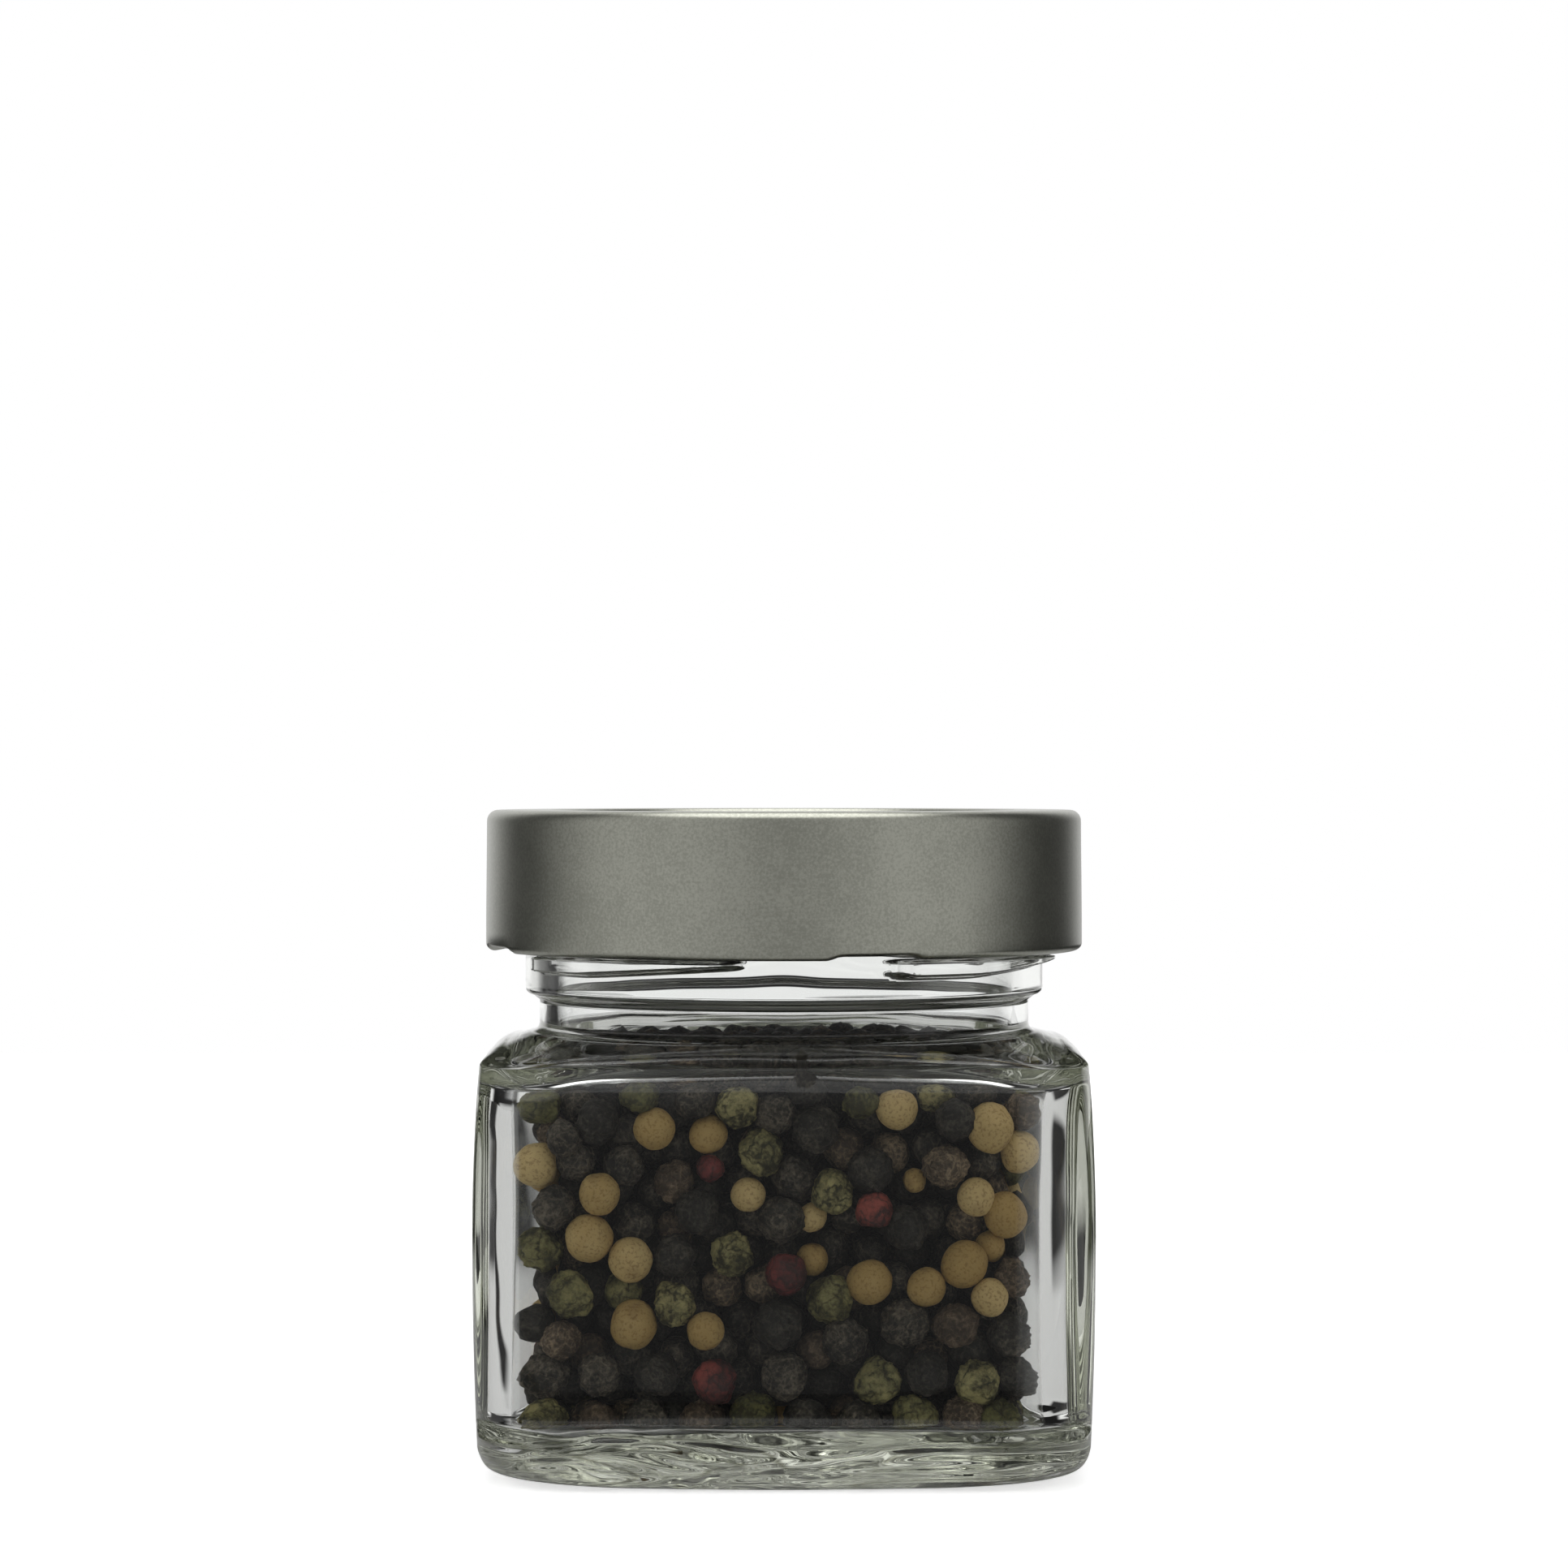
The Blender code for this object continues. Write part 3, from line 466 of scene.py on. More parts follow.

# %% [markdown]
# ## Where the peppercorns lie
#
# The jar holds about eighteen hundred berries. Those that the photograph shows against the front
# glass go where it shows them: each row below is a place and a radius read one by one, with how far
# behind the glass the berry lies. They are spread outwards by 2%, so that the outermost ones lie
# at the side walls. The rest start in close-packed layers, and then every pair that overlaps
# pushes itself apart and every berry is pushed back inside the glass, as when the jar is tapped on
# a table. They stay 2 mm below the imported fill's top, where the photograph shows them. A physics
# engine would do the same more slowly.

# %% The camera's numbers and the berries read from the photograph
image_size = 1932
focal_pixels = 5056.0
camera_distance = 480 * MM
camera_height = 77.5 * MM
jar_middle_pixel = 963.0
edge_spread = 1.02

seen = {
    "white": (
        (807, 1391, 26, 0), (872, 1398, 23, 0.8), (1099, 1366, 26, 0), (1215, 1390, 31, 0),
        (1262, 1417, 27, 0), (658, 1434, 26, 0), (741, 1470, 25, 0.3), (920, 1471, 22, 1.0),
        (1194, 1473, 24, 0.5), (1236, 1495, 29, 0), (728, 1524, 29, 0), (778, 1550, 27, 0),
        (1180, 1556, 29, 0), (1214, 1534, 20, 2.2), (1066, 1577, 27, 0.4), (1134, 1582, 24, 1.2),
        (1212, 1596, 24, 0), (782, 1629, 30, 0), (868, 1637, 23, 0), (997, 1498, 18, 2.5),
        (997, 1550, 20, 2.2), (1120, 1454, 15, 3.5),
    ),
    "green": (
        (907, 1362, 28, 0), (935, 1419, 29, 0), (1056, 1357, 22, 0.8), (790, 1348, 24, 1.5),
        (1145, 1348, 25, 1.5), (1022, 1468, 27, 0), (901, 1543, 27, 0.2), (669, 1536, 28, 0),
        (705, 1593, 31, 0), (831, 1604, 27, 0), (1017, 1600, 29, 0.2), (1076, 1697, 29, 0),
        (1197, 1700, 29, 0), (925, 1739, 30, 0), (1118, 1741, 29, 0.4), (672, 1742, 26, 0.5),
        (1246, 1749, 28, 0), (770, 1590, 26, 1.8), (668, 1362, 24, 1.0),
    ),
    "pink": (
        (874, 1439, 17, 1.0), (1072, 1490, 24, 0), (966, 1566, 26, 0.2), (880, 1700, 29, 0.2),
    ),
    "brown": (
        (1157, 1437, 28, 0), (741, 1750, 25, 0), (1181, 1748, 30, 0.3), (1170, 1630, 29, 0.2),
        (831, 1456, 27, 0.6), (1247, 1571, 25, 0.3), (686, 1646, 26, 1.0), (866, 1748, 27, 0.8),
        (1003, 1660, 26, 1.2),
    ),
    "black": (
        (738, 1383, 28, 0), (711, 1430, 28, 0.2), (964, 1692, 29, 0), (1037, 1649, 29, 0),
        (1108, 1627, 30, 0.2), (956, 1629, 31, 0), (860, 1492, 28, 0.4), (960, 1500, 28, 0.3),
        (1000, 1390, 30, 0.2), (1110, 1512, 28, 0.3), (1170, 1380, 26, 0.6), (770, 1437, 26, 0.7),
        (672, 1485, 28, 0), (832, 1545, 27, 0.6), (672, 1690, 29, 0), (740, 1690, 28, 0.4),
        (810, 1690, 28, 0.5), (798, 1745, 27, 0.3), (990, 1748, 28, 0.2), (1054, 1750, 27, 0.4),
        (1135, 1690, 28, 0.2), (1250, 1640, 28, 0), (1253, 1690, 27, 0.3), (660, 1400, 24, 0.6),
    ),
}
kinds = list(seen)
rows = np.concatenate([np.array(seen[kind], float) for kind in kinds])
seen_kind = np.repeat(np.arange(len(kinds)), [len(seen[kind]) for kind in kinds])
distance = np.full(len(rows), camera_distance - cavity_half)
wall_gap = 0.12 * MM
for _ in range(6):
    seen_radius = rows[:, 2] * distance / focal_pixels
    sideways = (rows[:, 0] - jar_middle_pixel) * distance / focal_pixels * edge_spread - wall_lean
    inner = cavity_half - seen_radius - wall_gap
    sideways = np.clip(sideways, -inner, inner)
    bend = cavity_corner - seen_radius - wall_gap
    into_corner = np.maximum(np.abs(sideways) - (cavity_half - cavity_corner), 0)
    corner_depth = bend - np.sqrt(np.maximum(bend**2 - into_corner**2, 0))
    behind_glass = wall_gap + seen_radius + corner_depth + rows[:, 3] * MM
    distance = camera_distance - cavity_half + behind_glass
seen_places = np.stack([
    sideways + wall_lean,
    distance - camera_distance,
    camera_height - (rows[:, 1] - image_size / 2) * distance / focal_pixels,
], axis=-1)
smallest, largest = 2000 * seen_radius.min(), 2000 * seen_radius.max()
print(f"{len(rows)} berries read from the photograph, {smallest:.1f} to {largest:.1f} mm")

# %% Layers of berries that push each other apart
fill_top = shoulder_height + 3.7 * MM
berry_top = fill_top - 2.0 * MM
pitch = 4.75 * MM
span = np.arange(-8, 9)
layers = []
for layer in range(11):
    across, along = np.meshgrid(span * pitch, span * pitch * math.sqrt(3) / 2, indexing="ij")
    across = across + (span % 2)[None, :] * pitch / 2 + (layer % 2) * pitch / 2
    along = along + (layer % 2) * pitch / (2 * math.sqrt(3))
    height = floor_height + 2.6 * MM + layer * pitch * math.sqrt(2 / 3) * 1.05
    layers.append(np.stack([across, along, np.full_like(across, height)], axis=-1).reshape(-1, 3))
loose = np.concatenate(layers)


def allowed_half(height, size):
    """How far from the middle a berry of this radius may lie: floor curve, wall, arch and bore."""
    low = np.sqrt(np.maximum((floor_edge - size) ** 2 - (floor_arc - height) ** 2, 0))
    half = np.where(height < floor_arc, flat_floor + low, cavity_half - size)
    rise = np.clip((height - wall_top) / (arch_rise - size), 0, 1)
    arch = bore_radius + (cavity_half - bore_radius - size) * np.sqrt(1 - rise**2)
    lip = bore_radius - np.sqrt(np.maximum(size**2 - (wall_top + arch_rise - height) ** 2, 0))
    lip = np.where(height > wall_top + arch_rise, bore_radius - size, lip)
    half = np.where(height > wall_top, np.minimum(half, arch), half)
    return np.where(height > wall_top + arch_rise - size, np.minimum(half, lip), half)


def pushed_inside(places, size):
    """Moves berries back inside the cavity, a rounded square whose corners open to a circle."""
    places[:, 2] = np.clip(places[:, 2], floor_height + size + wall_gap, berry_top - size)
    half = allowed_half(places[:, 2], size) - wall_gap
    roundness = np.clip((places[:, 2] - wall_top) / (arch_rise - size), 0, 1)
    corner = np.maximum(cavity_corner - size - wall_gap, 0.3 * MM)
    corner = corner + (half - corner) * roundness
    lean = lean_at(places[:, 2])
    flat = places[:, :2] - np.stack([lean, 0 * lean], axis=-1)
    past = np.abs(flat) - (half - corner)[:, None]
    reach = np.linalg.norm(np.maximum(past, 0), axis=1)
    outside = (reach > corner) & (past.min(axis=1) > 0)
    scale = np.where(outside, corner / np.maximum(reach, 1e-9), 1)
    shifted = (half - corner)[:, None] + np.maximum(past, 0) * scale[:, None]
    inside = np.minimum(np.abs(flat), np.where(past > 0, shifted, np.abs(flat)))
    places[:, :2] = np.sign(flat) * np.minimum(inside, half[:, None])
    places[:, 0] += lean
    return places


half = allowed_half(loose[:, 2], 2.4 * MM)
loose = loose[np.abs(loose[:, :2]).max(axis=1) < half + 1.2 * MM]
shake = 0.35 * MM
loose += chance.normal(0, shake, loose.shape)
behind_front = loose[:, 1] > -cavity_half + 7.5 * MM
near = np.linalg.norm(loose[:, None, [0, 2]] - seen_places[None, :, [0, 2]], axis=-1).min(axis=1)
clear_of_seen = near > 4.1 * MM
loose = loose[behind_front | clear_of_seen]
places = np.concatenate([seen_places, loose])
sizes = np.concatenate([seen_radius, chance.uniform(2.15, 2.65, len(loose)) * MM])
fixed = np.arange(len(places)) < len(seen_places)
# The berries read from the photograph only move to and fro.
share_moved = np.where(fixed[:, None], np.array([0.0, 1.0, 0.0]), 1.0)
rounds, rounds_between_searches = 120, 15
search_reach = 7 * MM
# Touching berries give by 2%, and the loose ones sink a little in each round.
give, push_share, sink = 0.98, 0.35, 0.02 * MM
for step in range(rounds):
    if step % rounds_between_searches == 0:
        near_ones = np.linalg.norm(places[:, None] - places[None, :], axis=-1) < search_reach
        one, other = np.nonzero(np.triu(near_ones, 1))
    apart = places[one] - places[other]
    gap = np.linalg.norm(apart, axis=1) + 1e-6
    overlap = np.maximum((sizes[one] + sizes[other]) * give - gap, 0)
    push = apart * (push_share * overlap / gap)[:, None]
    for axis in range(3):
        moved = np.bincount(one, push[:, axis], len(places))
        moved = moved - np.bincount(other, push[:, axis], len(places))
        places[:, axis] += moved * share_moved[:, axis]
    places[~fixed, 2] -= sink
    places = pushed_inside(places, sizes)
left, most = 1000 * overlap.mean(), 1000 * overlap.max()
print(f"{len(places)} berries; overlaps left: {left:.3f} mm mean, {most:.2f} mm most")

# %% [markdown]
# ## Kinds and detail
#
# Only berries near the glass or the top can be seen, so the ones in the heart of the jar are all
# black and get very few faces: they only have to keep light from shining through the gaps. Those
# against the front glass get a fine grid, because the photograph looks straight at them.

# %% Sorting the berries
share_of_kind = {"white": 0.17, "green": 0.17, "pink": 0.05, "brown": 0.11, "black": 0.50}
drawn = chance.choice(len(kinds), len(places), p=[share_of_kind[kind] for kind in kinds])
kind_of = np.concatenate([seen_kind, drawn[len(seen_kind):]])
black, brown = kinds.index("black"), kinds.index("brown")
beside_seen = ~fixed & (places[:, 1] < -cavity_half + 9 * MM)
kind_of[beside_seen] = np.where(chance.random(beside_seen.sum()) < 0.8, black, brown)
at_top = ~fixed & (places[:, 2] > wall_top - 1 * MM)
kind_of[at_top] = np.where(chance.random(at_top.sum()) < 0.85, black, brown)
to_wall = cavity_half - np.abs(places[:, :2]).max(axis=1)
to_top = fill_top - places[:, 2]
to_floor = places[:, 2] - floor_height
seen_depth, seen_depth_below = 8 * MM, 4 * MM
in_view = (to_wall < seen_depth) | (to_top < seen_depth) | (to_floor < seen_depth_below)
fine = places[:, 1] < -cavity_half + 5 * MM
kind_of[~in_view] = black
print(f"{in_view.sum()} berries near the glass or the top, {fine.sum()} of them fine")

# %% [markdown]
# ## The skin of a dried berry
#
# A dried peppercorn shrinks on its seed, and its skin folds into a net of ridges round flat
# hollows. The net is made with a few random points on the sphere: where the nearest and the second
# nearest are equally far, there is a ridge. White ones have lost that skin and are almost smooth,
# green ones are crumpled deeply, and pink ones are thin shells with dents.

# %% Berry shapes
skins = {
    # kind: (points of the net, ridge height, ridge width, lumps, dent depth, longest axis)
    "white": (7, 0.004, 0.30, 0.035, 0.05, 1.05),
    "green": (9, 0.080, 0.17, 0.130, 0.22, 1.04),
    "pink": (6, 0.030, 0.30, 0.070, 0.26, 1.02),
    "brown": (14, 0.085, 0.16, 0.095, 0.15, 1.03),
    "black": (18, 0.085, 0.16, 0.085, 0.14, 1.02),
}
skin_gap = 0.06 * MM


def unit_vectors(shape):
    """Random directions: normal numbers three at a time, divided by their length."""
    made = chance.normal(size=(*shape, 3))
    return made / np.linalg.norm(made, axis=-1, keepdims=True)


def berry_grids(kind, centres, size, rings, around):
    """Berries of one kind as batches of rings.

    The radius at a direction is 1, plus lumps of smooth noise, plus the ridge net and thin
    creases, less a dent at one end and a shallower one at a side. The ridge share is
    exp(-(second nearest - nearest) / width) over the net's points. No point comes nearer than
    skin_gap to the cavity's flat sides.
    """
    count, height, width, lumps, dent, longest = skins[kind]
    copies = len(centres)
    rise = np.pi * (np.arange(rings) + 1) / (rings + 1)
    turn = 2 * np.pi * np.arange(around) / around
    ball = np.stack([
        np.sin(rise)[:, None] * np.cos(turn),
        np.sin(rise)[:, None] * np.sin(turn),
        np.cos(rise)[:, None] * np.ones(around),
    ], axis=-1).reshape(-1, 3)
    ball = np.concatenate([ball, [[0, 0, 1], [0, 0, -1]]])
    first = unit_vectors((copies,))
    second = np.cross(first, unit_vectors((copies,)))
    second /= np.linalg.norm(second, axis=-1, keepdims=True)
    frames = np.stack([first, second, np.cross(first, second)], axis=1)
    own = np.broadcast_to(ball, (copies, *ball.shape))
    net = unit_vectors((copies, count))
    shift = chance.uniform(-40, 40, (copies, 1, 3))
    bend = np.stack([value_noise(own * 2.6 + shift, seed) for seed in (7, 8, 9)], axis=-1)
    bent = own + 0.35 * bend
    bent /= np.linalg.norm(bent, axis=-1, keepdims=True)
    angles = np.arccos(np.clip(np.einsum("ckj,cnj->ckn", bent, net), -1, 1))
    angles.sort(axis=-1)
    ridge = np.exp(-(angles[..., 1] - angles[..., 0]) / width)
    crease = 1.6 - 1.6 * np.minimum(np.abs(value_noise(own * 3.4 + shift, 10)) * 3.5, 1)
    lump = value_noise(own * 1.7 + shift, 5) + 0.4 * value_noise(own * 4.0 + shift, 6)
    depth = dent * chance.uniform(0.3, 1.0, (copies, 1))
    hollow = smooth_step(0.75, 1.0, own[..., 2]) + 0.6 * smooth_step(0.8, 1.0, own[..., 0])
    radius = 1 + lumps * lump + height * (ridge + 0.5 * crease - 1.0) - depth * hollow
    stretch = np.array([1, 1, longest]) * chance.uniform(0.96, 1.03, (copies, 1, 3))
    shape = own * (radius[..., None] * stretch)
    shape = np.einsum("ckj,cjl->ckl", shape, frames) * size[:, None, None] + centres[:, None, :]
    room = np.array([cavity_half, cavity_half, 1.0]) - skin_gap
    middle = np.array([wall_lean, 0.0, 0.0])
    shape = np.clip(shape, middle - room, middle + room)
    tone = np.broadcast_to(chance.random((copies, 1)), hollow.shape)
    grid = shape[:, :-2].reshape(copies, rings, around, 3)
    return grid, shape[:, -2:], {"tone": tone, "hollow": np.clip(hollow, 0, 1)}


def make_berries(kind, name, chosen, rings, around):
    """One mesh for all the chosen berries of a kind."""
    grid, poles, values = berry_grids(kind, places[chosen], sizes[chosen], rings, around)
    return rings_mesh(name, grid, poles, values)


berries = {kind: [] for kind in kinds}
for number, kind in enumerate(kinds):
    own = in_view & (kind_of == number)
    berries[kind].append(make_berries(kind, f"{kind}_peppercorns_in_front", own & fine, 34, 48))
    berries[kind].append(make_berries(kind, f"{kind}_peppercorns", own & ~fine, 8, 12))
berries["black"].append(make_berries("black", "black_peppercorns_deep", ~in_view, 5, 7))

# %% [markdown]
# ## Finishes from Python sums
#
# A material is a graph of nodes. Written out node by node it is long and hard to read, so one
# small class wraps a socket: plain sums on it add Math nodes, and one method adds any other node.

# %% A socket that takes part in sums
class Socket:
    """A shader socket. value * 2 + mask adds the Math nodes; node() adds any other node."""

    def __init__(self, tree, socket=None):
        self.tree = tree
        self.socket = socket

    def node(self, kind, settings=None, values=None, output=0):
        """Adds a node, sets it up, then fills its sockets with numbers, colours or sockets."""
        made = self.tree.nodes.new(kind)
        for key, value in (settings or {}).items():
            setattr(made, key, value)
        for key, value in (values or {}).items():
            if isinstance(value, Socket):
                self.tree.links.new(value.socket, made.inputs[key])
            else:
                made.inputs[key].default_value = value
        return Socket(self.tree, made.outputs[output]) if made.outputs else None

    def maths(self, operation, *others):
        values = dict(enumerate((self, *others)))
        return self.node("ShaderNodeMath", {"operation": operation}, values)

    def __add__(self, other):
        return self.maths("ADD", other)

    def __mul__(self, other):
        return self.maths("MULTIPLY", other)

    def __sub__(self, other):
        return self.maths("SUBTRACT", other)

    def __rsub__(self, other):
        return self * -1 + other

    def __abs__(self):
        return self.maths("ABSOLUTE")

    __radd__ = __add__

    def greatest(self, *others):
        """The greatest of this value and the others."""
        found = self
        for other in others:
            found = found.maths("MAXIMUM", other)
        return found

    def step(self, low, high):
        """Runs from 0 to 1 between low and high, smoothly."""
        return self.node(
            "ShaderNodeMapRange",
            {"interpolation_type": "SMOOTHSTEP"},
            {"Value": self, "From Min": low, "From Max": high},
        )

    def band(self, low, full, fading, high):
        """Rises from 0 to 1 between low and full, and falls back to 0 between fading and high."""
        return self.step(low, full) * (1 - self.step(fading, high))

    def mixed(self, first, second):
        """A colour that goes from first to second as this value goes from 0 to 1."""
        values = {"Factor": self, 6: first, 7: second}
        return self.node("ShaderNodeMix", {"data_type": "RGBA"}, values, output=2)

    def blend(self, first, second):
        """A number that goes from first to second as this value goes from 0 to 1."""
        values = {"Factor": self, 2: first, 3: second}
        return self.node("ShaderNodeMix", {"data_type": "FLOAT"}, values)

    def noise(self, vector, scale, detail=3.0, roughness=0.5):
        values = {"Vector": vector, "Scale": scale, "Detail": detail, "Roughness": roughness}
        return self.node("ShaderNodeTexNoise", {}, values)

    def object_place(self):
        """The place of a point in the object's own metres."""
        return self.node("ShaderNodeTexCoord", output=3)

    def parts(self):
        """The x, y and z of a vector."""
        apart = self.node("ShaderNodeSeparateXYZ", {}, {0: self}).socket.node
        return [Socket(self.tree, output) for output in apart.outputs]


def new_finish(name, **constants):
    """A material with one Principled shader, and a Socket to start its graph from."""
    made = bpy.data.materials.new(name)
    made.use_nodes = True
    shader = made.node_tree.nodes["Principled BSDF"]
    for key, value in constants.items():
        shader.inputs[key.replace("_", " ")].default_value = value
    return made, shader, Socket(made.node_tree)


def empty_graph(owner):
    """Clears the graph of a material or a world, and gives a Socket to start a new one from."""
    owner.use_nodes = True
    owner.node_tree.nodes.clear()
    return Socket(owner.node_tree)


def feed(shader, name, value):
    value.tree.links.new(value.socket, shader.inputs[name])


def bump(start, height, distance, strength=1.0):
    values = {"Height": height, "Distance": distance, "Strength": strength}
    return start.node("ShaderNodeBump", {}, values)


# %% [markdown]
# ## Glass
#
# Soda-lime glass bends light by an index of about 1.52 and is faintly green. The skin has both of
# its walls, so the shader's own refraction does the rest. The thick base set in layers: noise that
# is squeezed in height gives its streaks, and thin dark lines of painted reflection run where that
# noise passes through its middle value. Everywhere else a very weak bump keeps the reflections from
# looking polished.

# %% The glass finish
glass, shader, start = new_finish(
    "clear_green_glass",
    Roughness=0.0,
    IOR=1.52,
    Transmission_Weight=1.0,
)
place = start.object_place()
level = place.parts()[2]
in_base = 1 - level.step(floor_height, 8.0 * MM)
layered = start.node("ShaderNodeMapping", {}, {"Vector": place, "Scale": (1.0, 1.0, 8.0)})
flow = {"Vector": layered, "Scale": 22.0, "Detail": 1.0, "Roughness": 0.4, "Distortion": 1.8}
layers = start.node("ShaderNodeTexNoise", {}, flow)
# Painted reflection: thin dark lines in the base's colour stand for dark surroundings seen through
# it.
painted_line_width = 0.035
painted_reflection_lines = (1 - abs(layers - 0.5).step(0.0, painted_line_width)) * in_base
clear, painted_reflection_colour = (0.985, 0.992, 0.988, 1), (0.28, 0.28, 0.22, 1)
feed(shader, "Base Color", painted_reflection_lines.mixed(clear, painted_reflection_colour))
relief = layers * in_base + start.noise(place, 90.0, 1.0) * 0.02
feed(shader, "Normal", bump(start, relief, 3.0 * MM))
faint_green = {"Color": (0.66, 0.69, 0.53, 1), "Density": 12.0}
tint = start.node("ShaderNodeVolumeAbsorption", {}, faint_green)
feed(glass.node_tree.nodes["Material Output"], "Volume", tint)
jar.data.materials.append(glass)
print("finish:", glass.name)

# %% [markdown]
# ## Satin lacquer on tinplate
#
# The lid is grey metal under a satin lacquer. The rolled sheet keeps a fine grain that runs down
# the skirt, so the bump's noise is stretched along the height and squeezed round the lid. On the
# panel the grain runs straight across. A fine speckle in the lacquer breaks up the grey.

# %% The lid's finish
lid_finish, shader, start = new_finish("satin_lacquer", Metallic=1.0)
place = start.object_place()
across, along, level = place.parts()
turn = across.maths("ARCTAN2", along)
round_skirt = start.node("ShaderNodeCombineXYZ", {}, {0: turn * 0.035, 1: level * 0.05, 2: 0.0})
over_panel = start.node("ShaderNodeCombineXYZ", {}, {0: across, 1: along * 0.04, 2: 0.0})
far_out = (across * across + along * along).maths("SQRT").step(33.0 * MM, 34.0 * MM)
panel_grain, skirt_grain = (start.noise(way, 9000.0, 2.0) for way in (over_panel, round_skirt))
grain = far_out.blend(panel_grain, skirt_grain)
clouds = start.noise(place, 130.0, 4.0)
speckle = start.noise(place, 3300.0, 2.0, 0.6)
paleness = (clouds * 0.35 + speckle * 0.65).step(0.36, 0.64)
dark_grey, pale_grey = (0.257, 0.261, 0.224, 1), (0.337, 0.340, 0.295, 1)
feed(shader, "Base Color", paleness.mixed(dark_grey, pale_grey))
feed(shader, "Roughness", grain * 0.08 + clouds * 0.04 + 0.24)
feed(shader, "Normal", bump(start, grain + speckle * 0.8, 0.004 * MM, 0.6))
lid.data.materials.append(lid_finish)
print("finish:", lid_finish.name)

# %% [markdown]
# ## Sealing compound
#
# The ring in the lid's channel is a flowed-in plastic, cream coloured, matt, and faintly uneven.
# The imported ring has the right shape, so it stays and only gets this finish.

# %% The sealing ring's finish
compound, shader, start = new_finish("cream_sealing_compound", Roughness=0.55)
clouds = start.noise(start.object_place(), 260.0, 3.0)
feed(shader, "Base Color", clouds.mixed((0.60, 0.57, 0.50, 1), (0.70, 0.68, 0.62, 1)))
feed(shader, "Normal", bump(start, clouds, 0.05 * MM))
ring = frame["nodes"]["sealing_ring"]
ring.data.materials.clear()
ring.data.materials.append(compound)
print("finish:", compound.name)

# %% [markdown]
# ## Berry skins
#
# Each mesh carries two numbers for its finish: how deep a point lies in the dent, and one tone for
# the whole berry. Noise moves the colour between a dark one and a pale one. Painted shade darkens
# the creases of green and pink berries and the dent of white ones, a painted highlight lightens the
# ridges of brown and black ones, and a fine noise makes the pores. The tone moves each berry between
# two colours of its kind.

# %% The berries' finishes
colours = {
    # kind: hollow colour, two ridge colours, roughness, depth of the fine relief in millimetres
    "white": ((0.16, 0.085, 0.030), (0.40, 0.268, 0.098), (0.57, 0.425, 0.195), 0.55, 0.02),
    "green": ((0.040, 0.037, 0.018), (0.140, 0.136, 0.052), (0.37, 0.330, 0.150), 0.60, 0.07),
    "pink": ((0.050, 0.024, 0.022), (0.16, 0.036, 0.036), (0.37, 0.095, 0.070), 0.45, 0.05),
    "brown": ((0.050, 0.037, 0.026), (0.185, 0.135, 0.092), (0.36, 0.275, 0.180), 0.65, 0.06),
    "black": ((0.019, 0.017, 0.014), (0.076, 0.068, 0.055), (0.180, 0.153, 0.115), 0.60, 0.06),
}


def berry_finish(kind):
    """Hollow colour to ridge colour by noise, the ridge colour by the berry's tone.

    A fold is a thin line where smooth noise passes through its middle value, and the bump follows
    it: painted shade darkens the crease on green and pink berries, and a painted highlight makes a
    thin pale line on the ridge of brown and black ones. White ones have dark specks instead, and
    painted shade in the dent.
    """
    hollow, ridge_one, ridge_two, rough, pores = colours[kind]
    made, shader, start = new_finish(kind + "_berry_skin", Roughness=rough, Specular_IOR_Level=0.15)
    place = start.object_place()
    tone, dent = (
        start.node("ShaderNodeAttribute", {"attribute_name": name}, output=2)
        for name in ("tone", "hollow")
    )
    fine = start.noise(place, 2400.0, 3.0, 0.65)
    broad = start.noise(place, 330.0, 3.0, 0.55)
    off_folds = abs(start.noise(place, 430.0, 2.0) - 0.5).step(0.0, 0.055)
    off_small_folds = abs(start.noise(place, 1050.0, 3.0) - 0.5).step(0.0, 0.07)
    paleness = (tone * 1.2 + broad * 0.9 - 0.55).step(0.0, 1.0)
    if kind == "white":
        specks = start.noise(place, 3000.0, 2.0).step(0.50, 0.66)
        # Painted shade: the dent darkens where the broad noise is high; the specks are the skin's
        # own.
        high = 1 - specks * 0.45 - (dent * broad).step(0.25, 0.7) * 0.4
        relief = fine
    elif kind in ("green", "pink"):
        # Painted shade: dark lines in the same creases that the bump cuts.
        painted_crease_shade = (1 - off_folds) * 0.30 + (1 - off_small_folds) * 0.15
        high = (broad * 1.7 + fine * 0.9 - 0.80 - painted_crease_shade).step(0.0, 0.9)
        relief = fine * 0.3 + off_folds * 0.5 + off_small_folds * 0.3
    else:
        # Painted highlight: pale lines on the same ridges that the bump raises.
        painted_ridge_highlight = (1 - off_small_folds) * 0.22 + (1 - off_folds) * 0.2
        high = (broad * 0.9 + fine * 0.9 - 0.75 + painted_ridge_highlight).step(0.0, 0.9)
        relief = fine * 0.4 - off_folds * 0.4 - off_small_folds * 0.3
    top = paleness.mixed((*ridge_one, 1), (*ridge_two, 1))
    feed(shader, "Base Color", high.mixed((*hollow, 1), top))
    feed(shader, "Normal", bump(start, relief, pores * MM))
    return made


for kind in kinds:
    finish = berry_finish(kind)
    for piece in berries[kind]:
        piece.data.materials.append(finish)
    print("finish:", finish.name)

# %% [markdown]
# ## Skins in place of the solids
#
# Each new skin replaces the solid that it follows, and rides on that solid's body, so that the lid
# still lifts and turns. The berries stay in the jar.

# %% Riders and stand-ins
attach(jar, "jar")
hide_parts("glass_jar")
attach(lid, "lid")
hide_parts("lid_shell")
for kind in kinds:
    nodes = [name for name in frame["nodes"] if name.startswith(kind + "_peppercorn")]
    for piece in berries[kind]:
        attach(piece, "jar")
        if nodes:
            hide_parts(*nodes)
for piece in berries["black"]:
    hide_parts("peppercorn_bed")

